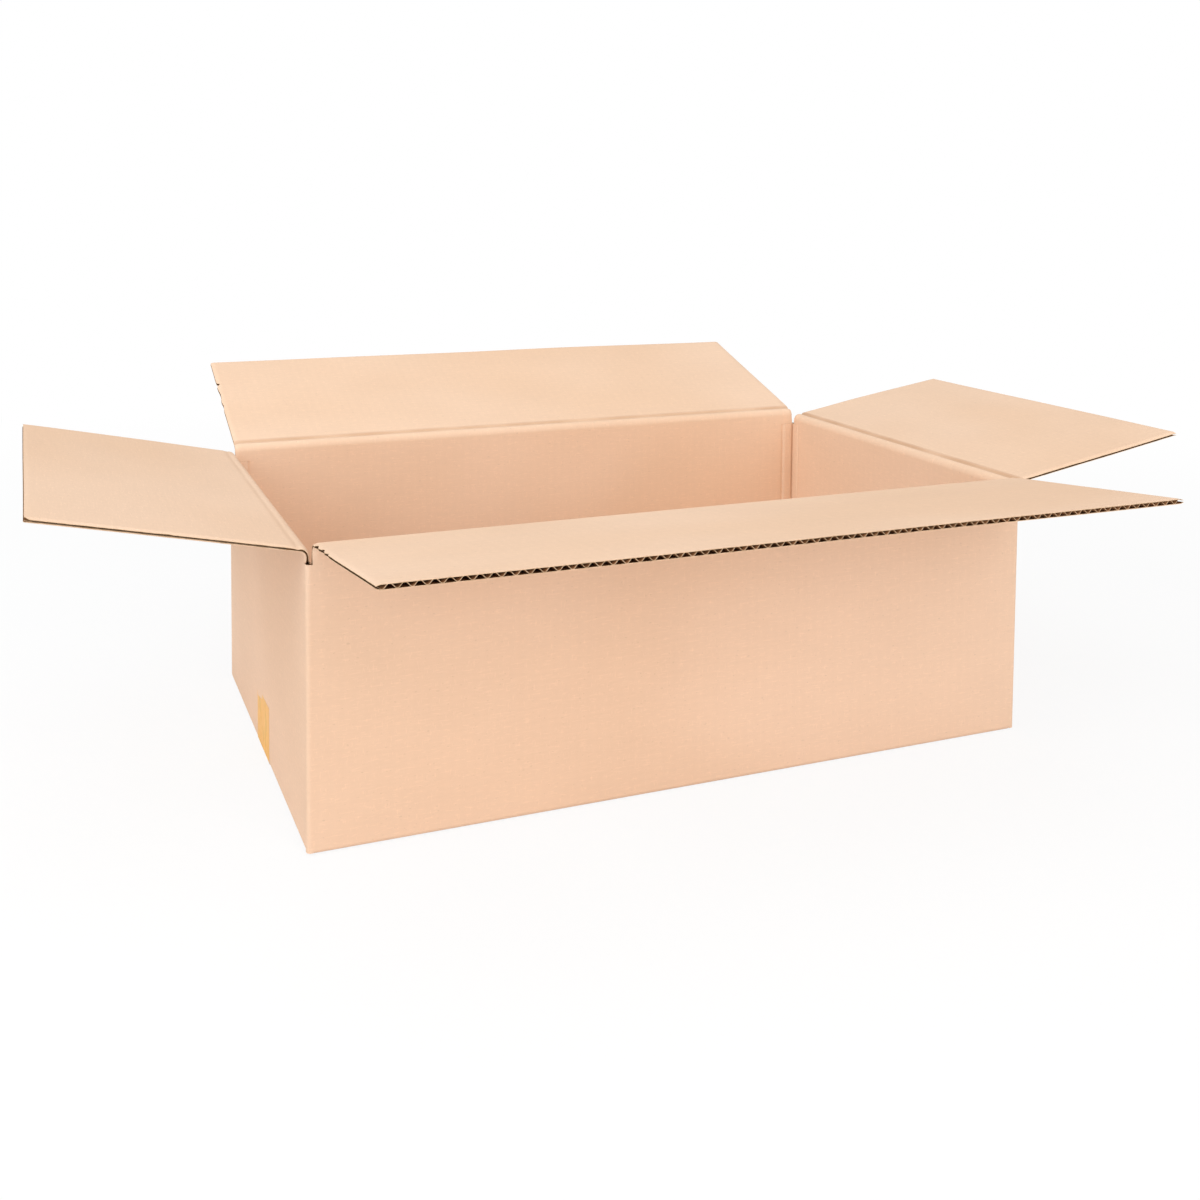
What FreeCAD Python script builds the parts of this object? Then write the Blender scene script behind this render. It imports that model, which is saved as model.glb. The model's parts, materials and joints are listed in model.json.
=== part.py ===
"""Open cardboard box: a slotted carton of single-wall corrugated board.

One blank is folded into four walls and closed at the back left corner by a
glued tab. Four bottom flaps are folded shut and taped along their seam. Four
top flaps stand folded outwards on their score lines.

Millimetres. X runs along the length, Y from the front wall to the back wall,
Z up. The origin is the centre of the bottom, on the surface it stands on.
"""
import FreeCAD
import Part
import Sketcher
import os

# Driving dimensions: alias, value, meaning.
SIZES = [
    ("box_length", 540.0, "outer length, along X"),
    ("box_width", 328.0, "outer width, along Y"),
    ("score_height", 192.0, "fold line of the front and back flaps above the floor"),
    ("flap_reach", 162.0, "a flap from its fold line to its free edge"),
    ("board", 3.7, "board thickness"),
    ("liner", 0.35, "thickness of each liner"),
    ("medium", 0.3, "thickness of the fluted medium"),
    ("flute_pitch", 7.9, "from one flute to the next"),
    ("flute_crest", 0.45, "half of the flat at a flute's tip"),
    ("leg_share", 0.42, "foot of a flute's leg, as a share of the medium"),
    ("flute_margin", 3.0, "plain board beside the first flute"),
    ("layer_gap", 0.3, "between two layers of folded board"),
    ("slot_gap", 4.0, "half the width of a corner slot"),
    ("top_slot", 10.0, "depth of a top corner slot below the fold line"),
    ("base_slot", 3.5, "height of a bottom corner slot above the lowest board"),
    ("score_gap", 0.15, "from a fold line to the board on each side of it"),
    ("corner_round", 4.5, "outer radius of an upright corner"),
    ("corner_inside", 0.7, "inner radius of an upright corner"),
    ("fold_round", 2.4, "outer radius of a bottom fold"),
    ("knuckle_lift", 0.8, "underside of the end walls above the lowest board"),
    ("seam_gap", 3.0, "from the left wall's cut edge to the back face"),
    ("seam_round", 2.5, "outer radius of the back wall's fold into the glue tab"),
    ("tab_width", 35.0, "glue tab, along the left wall"),
    ("tab_board", 2.6, "thickness of the crushed glue tab"),
    ("tab_taper", 9.0, "slope of the glue tab's ends"),
    ("tab_inset", 6.0, "glue tab's end below the fold line and above the floor"),
    ("meeting_gap", 2.0, "between the outer bottom flaps"),
    ("tape_width", 50.0, "bottom tape"),
    ("tape_film", 0.1, "thickness of the tape"),
    ("tape_rise", 42.0, "tape turned up on each end wall"),
]

# Flap angles from upright, in degrees: alias, value, meaning.
ANGLES = [
    ("front_angle", 83.0, "front flap"),
    ("back_angle", 72.0, "back flap"),
    ("left_angle", 78.5, "left flap"),
    ("right_angle", 80.5, "right flap"),
]

# Levels and half sizes that several sub-parts share, as sheet expressions.
HALF_LENGTH = "Sizes.box_length / 2"
HALF_WIDTH = "Sizes.box_width / 2"
MAJOR_SCORE = "Sizes.score_height"
MINOR_SCORE = "(Sizes.score_height - Sizes.board - Sizes.layer_gap)"
MINOR_FLOOR = "(Sizes.tape_film + Sizes.board + Sizes.layer_gap)"
FLOOR_TOP = "(Sizes.tape_film + 2 * Sizes.board + Sizes.layer_gap)"
SLOT_X = f"({HALF_LENGTH} - Sizes.slot_gap)"
SLOT_Y = f"({HALF_WIDTH} - Sizes.slot_gap)"
INSIDE_X = f"({HALF_LENGTH} - Sizes.board)"
INSIDE_Y = f"({HALF_WIDTH} - Sizes.board)"

# How far a cutting outline reaches past the board that it cuts.
CLEAR = "Sizes.board"

# A cut takes away more than this, in cubic millimetres.
LEAST_CUT = 1e-6

# Coordinates that are closer than this are the same, in millimetres.
SAME_PLACE = 1e-4

# An edge runs along an axis when its direction has more than this of it.
ALONG = 0.5

doc = FreeCAD.newDocument("cardboard_box")
sheet = doc.addObject("Spreadsheet::Sheet", "Sizes")
for row, (alias, value, meaning) in enumerate(SIZES + ANGLES, start=1):
    sheet.set(f"A{row}", alias)
    sheet.set(f"B{row}", str(value))
    sheet.set(f"C{row}", meaning)
    sheet.setAlias(f"B{row}", alias)
doc.recompute()


def new_body(label):
    """An empty body whose label names the sub-part."""
    body = doc.addObject("PartDesign::Body", label)
    body.Label = label
    return body


def new_sketch(body, name, role, level="0"):
    """A sketch on one of the body's origin planes, raised along its normal."""
    sketch = body.newObject("Sketcher::SketchObject", name)
    plane = next(item for item in body.Origin.OriginFeatures if item.Role == role)
    sketch.AttachmentSupport = [(plane, "")]
    sketch.MapMode = "FlatFace"
    sketch.setExpression("AttachmentOffset.Base.z", level)
    return sketch


def outline(sketch, corners):
    """A closed outline whose corners are given as pairs of expressions."""
    places = [FreeCAD.Vector(float(sheet.evalExpression(across)), float(sheet.evalExpression(along)), 0)
              for across, along in corners]
    count = len(corners)
    first = sketch.GeometryCount
    for index in range(count):
        line = Part.LineSegment(places[index], places[(index + 1) % count])
        sketch.addGeometry(line, False)
    for index in range(count):
        follower = first + (index + 1) % count
        sketch.addConstraint(Sketcher.Constraint("Coincident", first + index, 2, follower, 1))
    for index, (across, along) in enumerate(corners):
        place = places[index]
        for kind, value, text in (("DistanceX", place.x, across), ("DistanceY", place.y, along)):
            number = sketch.addConstraint(Sketcher.Constraint(kind, -1, 1, first + index, 1, value))
            name = f"corner_{first + index}_{kind}"
            sketch.renameConstraint(number, name)
            sketch.setExpression(f"Constraints.{name}", text)


def rectangle(sketch, left, right, low, high):
    """A rectangle between four expressions."""
    outline(sketch, [(left, low), (right, low), (right, high), (left, high)])


def both_sides(sketch, near, far, low, high, upright=False):
    """Two like rectangles, one each side of the sketch's middle."""
    for sign in ("-", ""):
        span = (f"{sign}({near})", f"{sign}({far})")
        if upright:
            rectangle(sketch, low, high, *span)
        else:
            rectangle(sketch, *span, low, high)


def pad(body, sketch, length, middle=False):
    """Raise a sketch by an expression's length."""
    feature = body.newObject("PartDesign::Pad", f"{sketch.Name}_pad")
    feature.Profile = sketch
    if middle:
        feature.SideType = "Symmetric"
    feature.setExpression("Length", length)
    doc.recompute()
    return feature


def pocket(body, sketch, length, middle=False, upwards=False):
    """Cut a sketch into the body, and make sure that it did cut."""
    before = body.Tip.Shape.Volume
    feature = body.newObject("PartDesign::Pocket", f"{sketch.Name}_cut")
    feature.Profile = sketch
    if middle:
        feature.SideType = "Symmetric"
    feature.Reversed = upwards
    feature.setExpression("Length", length)
    doc.recompute()
    if feature.Shape.Volume > before - LEAST_CUT:
        raise RuntimeError(f"{feature.Name} cut nothing")
    return feature


def round_edges(body, name, radius, chosen):
    """Round the edges of the body's last feature that a test picks by middle and direction."""
    base = body.Tip
    names = []
    for number, edge in enumerate(base.Shape.Edges, start=1):
        if len(edge.Vertexes) != 2:
            continue
        start, end = (vertex.Point for vertex in edge.Vertexes)
        if chosen((start + end) / 2, (end - start).normalize()):
            names.append(f"Edge{number}")
    if not names:
        raise RuntimeError(f"{name} found no edge")
    feature = body.newObject("PartDesign::Fillet", name)
    feature.Base = (base, names)
    feature.setExpression("Radius", radius)
    doc.recompute()
    return feature


def same(value, text):
    """Whether a coordinate lies at an expression's value."""
    return abs(value - float(sheet.evalExpression(text))) < SAME_PLACE


def make_walls(body):
    """The four walls as a tube, with their upright corners rounded."""
    sketch = new_sketch(body, "walls", "XY_Plane", "Sizes.tape_film")
    rectangle(sketch, f"-({HALF_LENGTH})", HALF_LENGTH, f"-({HALF_WIDTH})", HALF_WIDTH)
    rectangle(sketch, f"-{INSIDE_X}", INSIDE_X, f"-{INSIDE_Y}", INSIDE_Y)
    pad(body, sketch, f"{MAJOR_SCORE} - Sizes.tape_film")

    def seam_corner(middle):
        return middle.x < 0 < middle.y

    def outer_corner(middle, way):
        return abs(way.z) > ALONG and same(abs(middle.x), HALF_LENGTH) and not seam_corner(middle)

    def inner_corner(middle, way):
        return abs(way.z) > ALONG and same(abs(middle.x), INSIDE_X) and not seam_corner(middle)

    round_edges(body, "outer_corners", "Sizes.corner_round", outer_corner)
    round_edges(body, "inner_corners", "Sizes.corner_inside", inner_corner)


def make_glue_joint(body):
    """The tab that the back wall carries, glued inside the left wall, and the seam it leaves."""
    seam = new_sketch(body, "seam", "XY_Plane")
    rectangle(seam, f"-({HALF_LENGTH} + {CLEAR})", f"-{INSIDE_X}",
              f"{HALF_WIDTH} - Sizes.seam_gap", f"{HALF_WIDTH} + {CLEAR}")
    pocket(body, seam, f"{MAJOR_SCORE} + {CLEAR}", upwards=True)
    round_edges(body, "seam_fold", "Sizes.seam_round",
                lambda middle, way: abs(way.z) > ALONG and same(middle.y, HALF_WIDTH)
                and same(middle.x, f"-{INSIDE_X}"))
    tab = new_sketch(body, "glue_tab", "YZ_Plane", f"-{INSIDE_X}")
    low = f"{FLOOR_TOP} + Sizes.tab_inset"
    high = f"{MINOR_SCORE} - Sizes.board - Sizes.tab_inset"
    outline(tab, [
        (INSIDE_Y, low),
        (INSIDE_Y, high),
        (f"{INSIDE_Y} - Sizes.tab_width", f"{high} - Sizes.tab_taper"),
        (f"{INSIDE_Y} - Sizes.tab_width", f"{low} + Sizes.tab_taper"),
    ])
    pad(body, tab, "Sizes.tab_board")


def make_floor(body):
    """The bottom flaps: the end flaps folded in first, the long ones over them."""
    outer = new_sketch(body, "outer_bottom_flaps", "XY_Plane", "Sizes.tape_film")
    both_sides(outer, "Sizes.meeting_gap / 2", f"{HALF_WIDTH} - Sizes.board / 2",
               f"-{SLOT_X}", SLOT_X, upright=True)
    pad(body, outer, "Sizes.board")
    inner = new_sketch(body, "inner_bottom_flaps", "XY_Plane", MINOR_FLOOR)
    both_sides(inner, f"{HALF_LENGTH} - Sizes.flap_reach", f"{HALF_LENGTH} - Sizes.board / 2",
               f"-{SLOT_Y}", SLOT_Y)
    pad(body, inner, "Sizes.board")


def make_bottom_edges(body):
    """The end walls stop short of the lowest board, and every bottom fold is rounded."""
    knuckles = new_sketch(body, "knuckles", "XY_Plane")
    both_sides(knuckles, SLOT_X, f"{HALF_LENGTH} + {CLEAR}",
               f"-({HALF_WIDTH} + {CLEAR})", f"{HALF_WIDTH} + {CLEAR}")
    pocket(body, knuckles, "Sizes.tape_film + Sizes.knuckle_lift", upwards=True)
    slots = new_sketch(body, "bottom_slots", "XY_Plane")
    for side in ("-", ""):
        both_sides(slots, SLOT_X, f"{HALF_LENGTH} + {CLEAR}",
                   f"{side}({SLOT_Y})", f"{side}({HALF_WIDTH} + {CLEAR})")
    pocket(body, slots, "Sizes.tape_film + Sizes.base_slot", upwards=True)

    def long_fold(middle, way):
        return abs(way.x) > ALONG and same(middle.z, "Sizes.tape_film") and same(abs(middle.y), HALF_WIDTH)

    def end_fold(middle, way):
        level = "Sizes.tape_film + Sizes.knuckle_lift"
        return abs(way.y) > ALONG and same(middle.z, level) and same(abs(middle.x), HALF_LENGTH)

    round_edges(body, "long_folds", "Sizes.fold_round", long_fold)
    round_edges(body, "end_folds", "Sizes.fold_round", end_fold)


def mitre(sketch, half, score):
    """The bevel that leaves each wall's top a single line at its outer face."""
    for side in ("-", ""):
        outline(sketch, [
            (f"{side}({half} + {CLEAR})", f"{MAJOR_SCORE} + {CLEAR}"),
            (f"{side}({half} + {CLEAR})", f"{score} - Sizes.score_gap"),
            (f"{side}({half})", f"{score} - Sizes.score_gap"),
            (f"{side}({half} - Sizes.board)", f"{score} - Sizes.score_gap - Sizes.board"),
            (f"{side}({half} - 2 * Sizes.board)", f"{score} - Sizes.score_gap - 2 * Sizes.board"),
            (f"{side}({half} - 2 * Sizes.board)", f"{MAJOR_SCORE} + {CLEAR}"),
        ])


def make_top_edges(body):
    """Bevelled fold lines, lower on the end walls, and the corner slots between them."""
    long_walls = new_sketch(body, "long_scores", "YZ_Plane")
    mitre(long_walls, HALF_WIDTH, MAJOR_SCORE)
    pocket(body, long_walls, f"Sizes.box_length + 2 * {CLEAR}", middle=True)
    end_walls = new_sketch(body, "end_scores", "XZ_Plane")
    mitre(end_walls, HALF_LENGTH, MINOR_SCORE)
    pocket(body, end_walls, f"Sizes.box_width - 2 * {CLEAR}", middle=True)
    slots = new_sketch(body, "top_slots", "XY_Plane", f"{MAJOR_SCORE} - Sizes.top_slot")
    for side in ("-", ""):
        both_sides(slots, SLOT_X, f"{HALF_LENGTH} + {CLEAR}",
                   f"{side}({SLOT_Y})", f"{side}({HALF_WIDTH} + {CLEAR})")
    pocket(body, slots, f"Sizes.top_slot + {CLEAR}", upwards=True)


def make_box_body():
    """Walls, glue tab and bottom flaps of the one folded blank."""
    body = new_body("box_body")
    make_walls(body)
    make_glue_joint(body)
    make_floor(body)
    make_bottom_edges(body)
    make_top_edges(body)
    return body


def flute(sketch, middle, top):
    """One channel of the fluted board: wide at one liner, narrow at the other."""
    wide = "(Sizes.flute_pitch / 2 - Sizes.flute_crest - Sizes.leg_share * Sizes.medium)"
    near = "Sizes.board - Sizes.liner" if top else "Sizes.liner"
    far = "Sizes.liner + Sizes.medium" if top else "Sizes.board - Sizes.liner - Sizes.medium"
    outline(sketch, [
        (f"{middle} - {wide}", near),
        (f"{middle} + {wide}", near),
        (f"{middle} + Sizes.flute_crest", far),
        (f"{middle} - Sizes.flute_crest", far),
    ])


def make_flap(label, half, place, turn, angle):
    """A top flap, modelled upright with its inner face towards +Y, then turned outwards.

    The fold line lies on the board's outer face, so the flap can be folded
    in by a quarter turn and out until it hangs beside its wall. The flutes run
    from its free edge to its fold line.
    """
    body = new_body(label)
    section = new_sketch(body, f"{label}_section", "YZ_Plane")
    outline(section, [
        ("0", "Sizes.score_gap"),
        ("Sizes.board", "Sizes.score_gap + Sizes.board"),
        ("Sizes.board", "Sizes.flap_reach"),
        ("0", "Sizes.flap_reach"),
    ])
    pad(body, section, f"2 * {half}", middle=True)

    run = f"(2 * {half} - 2 * Sizes.flute_margin)"
    count = f"floor({run} / Sizes.flute_pitch)"
    first = f"((1 - {count}) * Sizes.flute_pitch / 2 - Sizes.flute_pitch / 4)"
    channels = new_sketch(body, f"{label}_flutes", "XY_Plane", "Sizes.flap_reach")
    flute(channels, first, False)
    flute(channels, f"({first} + Sizes.flute_pitch / 2)", True)
    channel = pocket(body, channels, "Sizes.flap_reach - 2 * Sizes.board - Sizes.score_gap")
    pattern = body.newObject("PartDesign::LinearPattern", f"{label}_row")
    pattern.Originals = [channel]
    pattern.Direction = (channels, ["H_Axis"])
    pattern.Mode = "Extent"
    pattern.setExpression("Length", f"({count} - 1) * Sizes.flute_pitch")
    pattern.setExpression("Occurrences", count)
    body.Tip = pattern

    across, along, level = place
    body.setExpression("Placement", (
        f"placement(vector({across}; {along}; {level}); "
        f"rotation(vector(0; 0; 1); {turn}) * rotation(vector(1; 0; 0); Sizes.{angle}))"))
    return body


def make_tape():
    """The strip over the bottom seam, turned up on both end walls."""
    body = new_body("bottom_tape")
    strip = new_sketch(body, "tape_section", "XZ_Plane")
    outer = f"({HALF_LENGTH} + Sizes.tape_film)"
    outline(strip, [
        (f"-{outer}", "0"),
        (outer, "0"),
        (outer, "Sizes.tape_rise"),
        (HALF_LENGTH, "Sizes.tape_rise"),
        (HALF_LENGTH, "Sizes.tape_film"),
        (f"-({HALF_LENGTH})", "Sizes.tape_film"),
        (f"-({HALF_LENGTH})", "Sizes.tape_rise"),
        (f"-{outer}", "Sizes.tape_rise"),
    ])
    pad(body, strip, "Sizes.tape_width", middle=True)
    round_edges(body, "tape_inside", "Sizes.fold_round",
                lambda middle, way: abs(way.y) > ALONG and same(middle.z, "Sizes.tape_film")
                and same(abs(middle.x), HALF_LENGTH))
    round_edges(body, "tape_outside", "Sizes.fold_round + Sizes.tape_film",
                lambda middle, way: abs(way.y) > ALONG and same(middle.z, "0")
                and same(abs(middle.x), outer))
    return body


sub_parts = [
    make_box_body(),
    make_flap("flap_front", SLOT_X, ("0", f"-{HALF_WIDTH}", MAJOR_SCORE), 0, "front_angle"),
    make_flap("flap_back", SLOT_X, ("0", HALF_WIDTH, MAJOR_SCORE), 180, "back_angle"),
    make_flap("flap_left", SLOT_Y, (f"-{HALF_LENGTH}", "0", MINOR_SCORE), -90, "left_angle"),
    make_flap("flap_right", SLOT_Y, (HALF_LENGTH, "0", MINOR_SCORE), 90, "right_angle"),
    make_tape(),
]
doc.recompute()

for item in doc.Objects:
    if "Invalid" in item.State or "Error" in item.State:
        raise RuntimeError(f"{item.Label} failed")
for part in sub_parts:
    if part.Shape.isNull() or not part.Shape.isValid() or len(part.Shape.Solids) != 1:
        raise RuntimeError(f"{part.Label} is not one sound solid")

os.makedirs("parts", exist_ok=True)
for part in sub_parts:
    part.Shape.exportStep(f"parts/{part.Label}.step")
    box = part.Shape.BoundBox
    print(f"{part.Label}: {part.Shape.Volume / 1000:.1f} cm3, {len(part.Shape.Faces)} faces, "
          f"X {box.XMin:.1f} to {box.XMax:.1f}, Y {box.YMin:.1f} to {box.YMax:.1f}, "
          f"Z {box.ZMin:.1f} to {box.ZMax:.1f}")
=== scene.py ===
"""Looks of the open cardboard box: kraft liners over real flutes, soft folds and packing tape.

Metres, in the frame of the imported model. A point of the board is given on the
unfolded blank: across it along a fold line, its run from that fold line, and
its depth from the outer face. Each fold line places such points in the box.
"""
from __future__ import annotations

import json
import logging
import math
from dataclasses import dataclass, field
from enum import Enum
from typing import Callable, Iterable, Sequence

import bmesh
import bpy
from mathutils import Matrix, Vector, noise
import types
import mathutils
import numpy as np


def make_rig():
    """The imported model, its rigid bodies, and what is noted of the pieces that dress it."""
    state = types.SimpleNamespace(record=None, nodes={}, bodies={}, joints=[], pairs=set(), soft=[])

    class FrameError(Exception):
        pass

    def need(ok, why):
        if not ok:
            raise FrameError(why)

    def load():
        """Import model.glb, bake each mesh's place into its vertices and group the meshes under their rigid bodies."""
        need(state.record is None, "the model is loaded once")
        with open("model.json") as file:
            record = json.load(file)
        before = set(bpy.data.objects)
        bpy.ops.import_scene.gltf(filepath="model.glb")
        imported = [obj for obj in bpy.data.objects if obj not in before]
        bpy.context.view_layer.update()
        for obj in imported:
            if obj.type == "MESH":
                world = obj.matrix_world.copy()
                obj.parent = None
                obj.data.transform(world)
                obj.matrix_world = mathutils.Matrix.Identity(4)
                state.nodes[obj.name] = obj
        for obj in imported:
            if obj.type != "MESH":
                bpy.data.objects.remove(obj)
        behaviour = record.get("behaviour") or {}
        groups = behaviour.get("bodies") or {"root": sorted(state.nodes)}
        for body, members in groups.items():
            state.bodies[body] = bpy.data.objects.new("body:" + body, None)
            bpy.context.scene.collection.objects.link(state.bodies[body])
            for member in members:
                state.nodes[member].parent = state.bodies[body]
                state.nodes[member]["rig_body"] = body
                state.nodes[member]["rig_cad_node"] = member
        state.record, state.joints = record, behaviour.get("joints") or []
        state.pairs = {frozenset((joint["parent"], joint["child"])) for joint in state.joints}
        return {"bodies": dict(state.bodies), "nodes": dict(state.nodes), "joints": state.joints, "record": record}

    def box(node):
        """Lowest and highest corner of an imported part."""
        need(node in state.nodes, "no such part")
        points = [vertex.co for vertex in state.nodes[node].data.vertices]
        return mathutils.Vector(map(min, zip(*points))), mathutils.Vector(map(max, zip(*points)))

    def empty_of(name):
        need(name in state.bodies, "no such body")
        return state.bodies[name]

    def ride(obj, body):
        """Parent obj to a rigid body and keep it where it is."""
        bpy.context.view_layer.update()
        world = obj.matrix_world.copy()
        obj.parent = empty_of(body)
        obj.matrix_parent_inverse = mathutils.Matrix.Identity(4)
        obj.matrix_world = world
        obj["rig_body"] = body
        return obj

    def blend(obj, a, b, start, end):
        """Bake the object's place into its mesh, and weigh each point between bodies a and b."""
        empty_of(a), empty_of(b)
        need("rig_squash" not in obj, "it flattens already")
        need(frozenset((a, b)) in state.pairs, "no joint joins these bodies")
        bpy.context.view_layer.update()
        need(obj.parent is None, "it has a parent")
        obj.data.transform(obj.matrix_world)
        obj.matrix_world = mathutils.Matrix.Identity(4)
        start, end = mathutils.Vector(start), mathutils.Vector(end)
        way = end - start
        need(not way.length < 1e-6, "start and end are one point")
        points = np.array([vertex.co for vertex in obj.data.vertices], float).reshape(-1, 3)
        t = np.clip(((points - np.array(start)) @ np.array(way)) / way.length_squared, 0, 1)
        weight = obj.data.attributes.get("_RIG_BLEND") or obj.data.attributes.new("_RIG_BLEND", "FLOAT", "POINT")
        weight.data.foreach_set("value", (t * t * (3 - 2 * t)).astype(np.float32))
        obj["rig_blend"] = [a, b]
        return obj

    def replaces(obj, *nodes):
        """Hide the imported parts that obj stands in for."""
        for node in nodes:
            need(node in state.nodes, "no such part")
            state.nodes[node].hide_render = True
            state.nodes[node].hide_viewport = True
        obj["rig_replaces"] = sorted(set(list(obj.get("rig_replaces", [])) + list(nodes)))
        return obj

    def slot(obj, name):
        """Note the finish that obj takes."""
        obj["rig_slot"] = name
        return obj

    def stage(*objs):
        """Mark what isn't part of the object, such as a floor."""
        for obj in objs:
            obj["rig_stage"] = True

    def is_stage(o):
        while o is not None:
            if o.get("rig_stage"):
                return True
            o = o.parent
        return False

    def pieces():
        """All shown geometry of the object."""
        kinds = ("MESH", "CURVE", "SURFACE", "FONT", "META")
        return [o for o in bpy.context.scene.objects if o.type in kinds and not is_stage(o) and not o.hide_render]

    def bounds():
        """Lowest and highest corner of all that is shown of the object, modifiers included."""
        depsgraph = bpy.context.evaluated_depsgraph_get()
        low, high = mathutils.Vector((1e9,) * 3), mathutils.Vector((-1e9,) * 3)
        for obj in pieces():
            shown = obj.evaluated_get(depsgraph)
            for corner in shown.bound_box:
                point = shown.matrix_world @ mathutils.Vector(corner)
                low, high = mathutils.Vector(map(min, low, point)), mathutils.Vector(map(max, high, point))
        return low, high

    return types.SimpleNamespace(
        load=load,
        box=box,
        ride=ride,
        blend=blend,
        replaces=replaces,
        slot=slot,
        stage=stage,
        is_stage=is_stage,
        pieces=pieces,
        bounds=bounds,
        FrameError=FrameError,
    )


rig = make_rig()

LOG = logging.getLogger("box")
MM = 0.001
SIZE_FILE = "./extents.json"
BLANK_MAP = "Blank"
# Vertex attribute of how far the score pressed the inner liner; the material darkens the liner by it, for wear and as
# painted shade in the score groove.
CRUSH_AND_SHADE = "Crush"
KRAFT_SLOT = "kraft_board"
TAPE_SLOT = "packing_tape"
BODY = "box_body"
SHARP_EDGE = math.radians(38)
QUARTER = math.pi / 2
WHITE = (1.0, 1.0, 1.0, 1.0)
# How far the blank's map is moved aside for inner faces, so that they differ from the outer ones.
INNER_SHIFT = 5.0

# Indices of a board's materials, and the three that each sheet of it shows.
# The fourth is the brown medium made much darker, painted shade inside the flutes, for the medium and the liners'
# hidden faces.
OUTSIDE, INSIDE, CUT, PAINTED_CAVITY_SHADE = 0, 1, 2, 3
OUTER_LINER = (OUTSIDE, PAINTED_CAVITY_SHADE, CUT)
INNER_LINER = (PAINTED_CAVITY_SHADE, INSIDE, CUT)
CORE = (PAINTED_CAVITY_SHADE, PAINTED_CAVITY_SHADE, PAINTED_CAVITY_SHADE)

# Where a point lies in the box and on the blank, a depth, and the places across for a run.
Place = Callable[[float, float, float], Vector]
Spot = Callable[[float, float, bool], tuple[float, float]]
Depth = Callable[[float, float], float]
Columns = Callable[[float], Sequence[float]]

# Three lengths or shares, and a colour with its alpha.
Triple = tuple[float, float, float]
Colour = tuple[float, float, float, float]


class Side(Enum):
    """The four walls, each named as its flap is."""

    FRONT = "front"
    RIGHT = "right"
    BACK = "back"
    LEFT = "left"

    @property
    def is_long(self) -> bool:
        """Whether the wall runs along the box's length."""
        return self in (Side.FRONT, Side.BACK)


@dataclass(frozen=True)
class Board:
    """Single-wall corrugated board and how it is cut and folded."""

    thickness: float = 3.7 * MM
    liner: float = 0.35 * MM
    medium: float = 0.30 * MM
    pitch: float = 7.9 * MM
    top_slot: float = 10.0 * MM
    tape_film: float = 0.1 * MM
    layer_gap: float = 0.3 * MM
    meeting_gap: float = 2.0 * MM
    bend_radius: float = 7.0 * MM
    corner_radius: float = 4.5 * MM
    join_run: float = 11.0 * MM
    core_inset: float = 2.6 * MM
    reach: float = 162.0 * MM

    @property
    def core_skin(self) -> float:
        """Depth at which the core of a fold starts, just clear of the liner."""
        return self.liner * 1.2


BOARD = Board()


def smooth(value: float) -> float:
    """Ease a value from 0 to 1, flat at both ends."""
    value = min(1.0, max(0.0, value))
    return value * value * (3.0 - 2.0 * value)


def bump(distance: float, width: float) -> float:
    """A smooth hump of height 1 that is 0 past its half width."""
    return 1.0 - smooth(abs(distance) / width)


def wander(x: float, y: float, seed: float) -> float:
    """Smooth noise between about -1 and 1, the same on every run."""
    return noise.noise(Vector((x, y, seed)))


def stations(start: float, end: float, step: float, edge_step: float, band: float) -> list[float]:
    """Places between two ends, closer together near both.

    Args:
        start: The first place.
        end: The last place.
        step: The widest gap between places.
        edge_step: The gap within the band at each end.
        band: How far the closer places reach from each end.

    Returns:
        The places in order, both ends among them.
    """
    count = max(1, round(band / edge_step))
    inner = max(1, math.ceil((end - start - 2 * band) / step))
    near = [start + band * i / count for i in range(count)]
    middle = [start + band + (end - start - 2 * band) * i / inner for i in range(inner + 1)]
    far = [end - band * i / count for i in reversed(range(count))]
    return near + middle + far


def flat(across: float, run: float) -> float:
    """No depth, wherever it is."""
    return 0.0


@dataclass(frozen=True)
class Stretch:
    """A stretch of board: where its points lie in the box and on the blank.

    Rows are its runs in order, and columns gives the places across for a run.
    """

    place: Place
    rows: Sequence[float]
    columns: Columns
    spot: Spot


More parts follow.
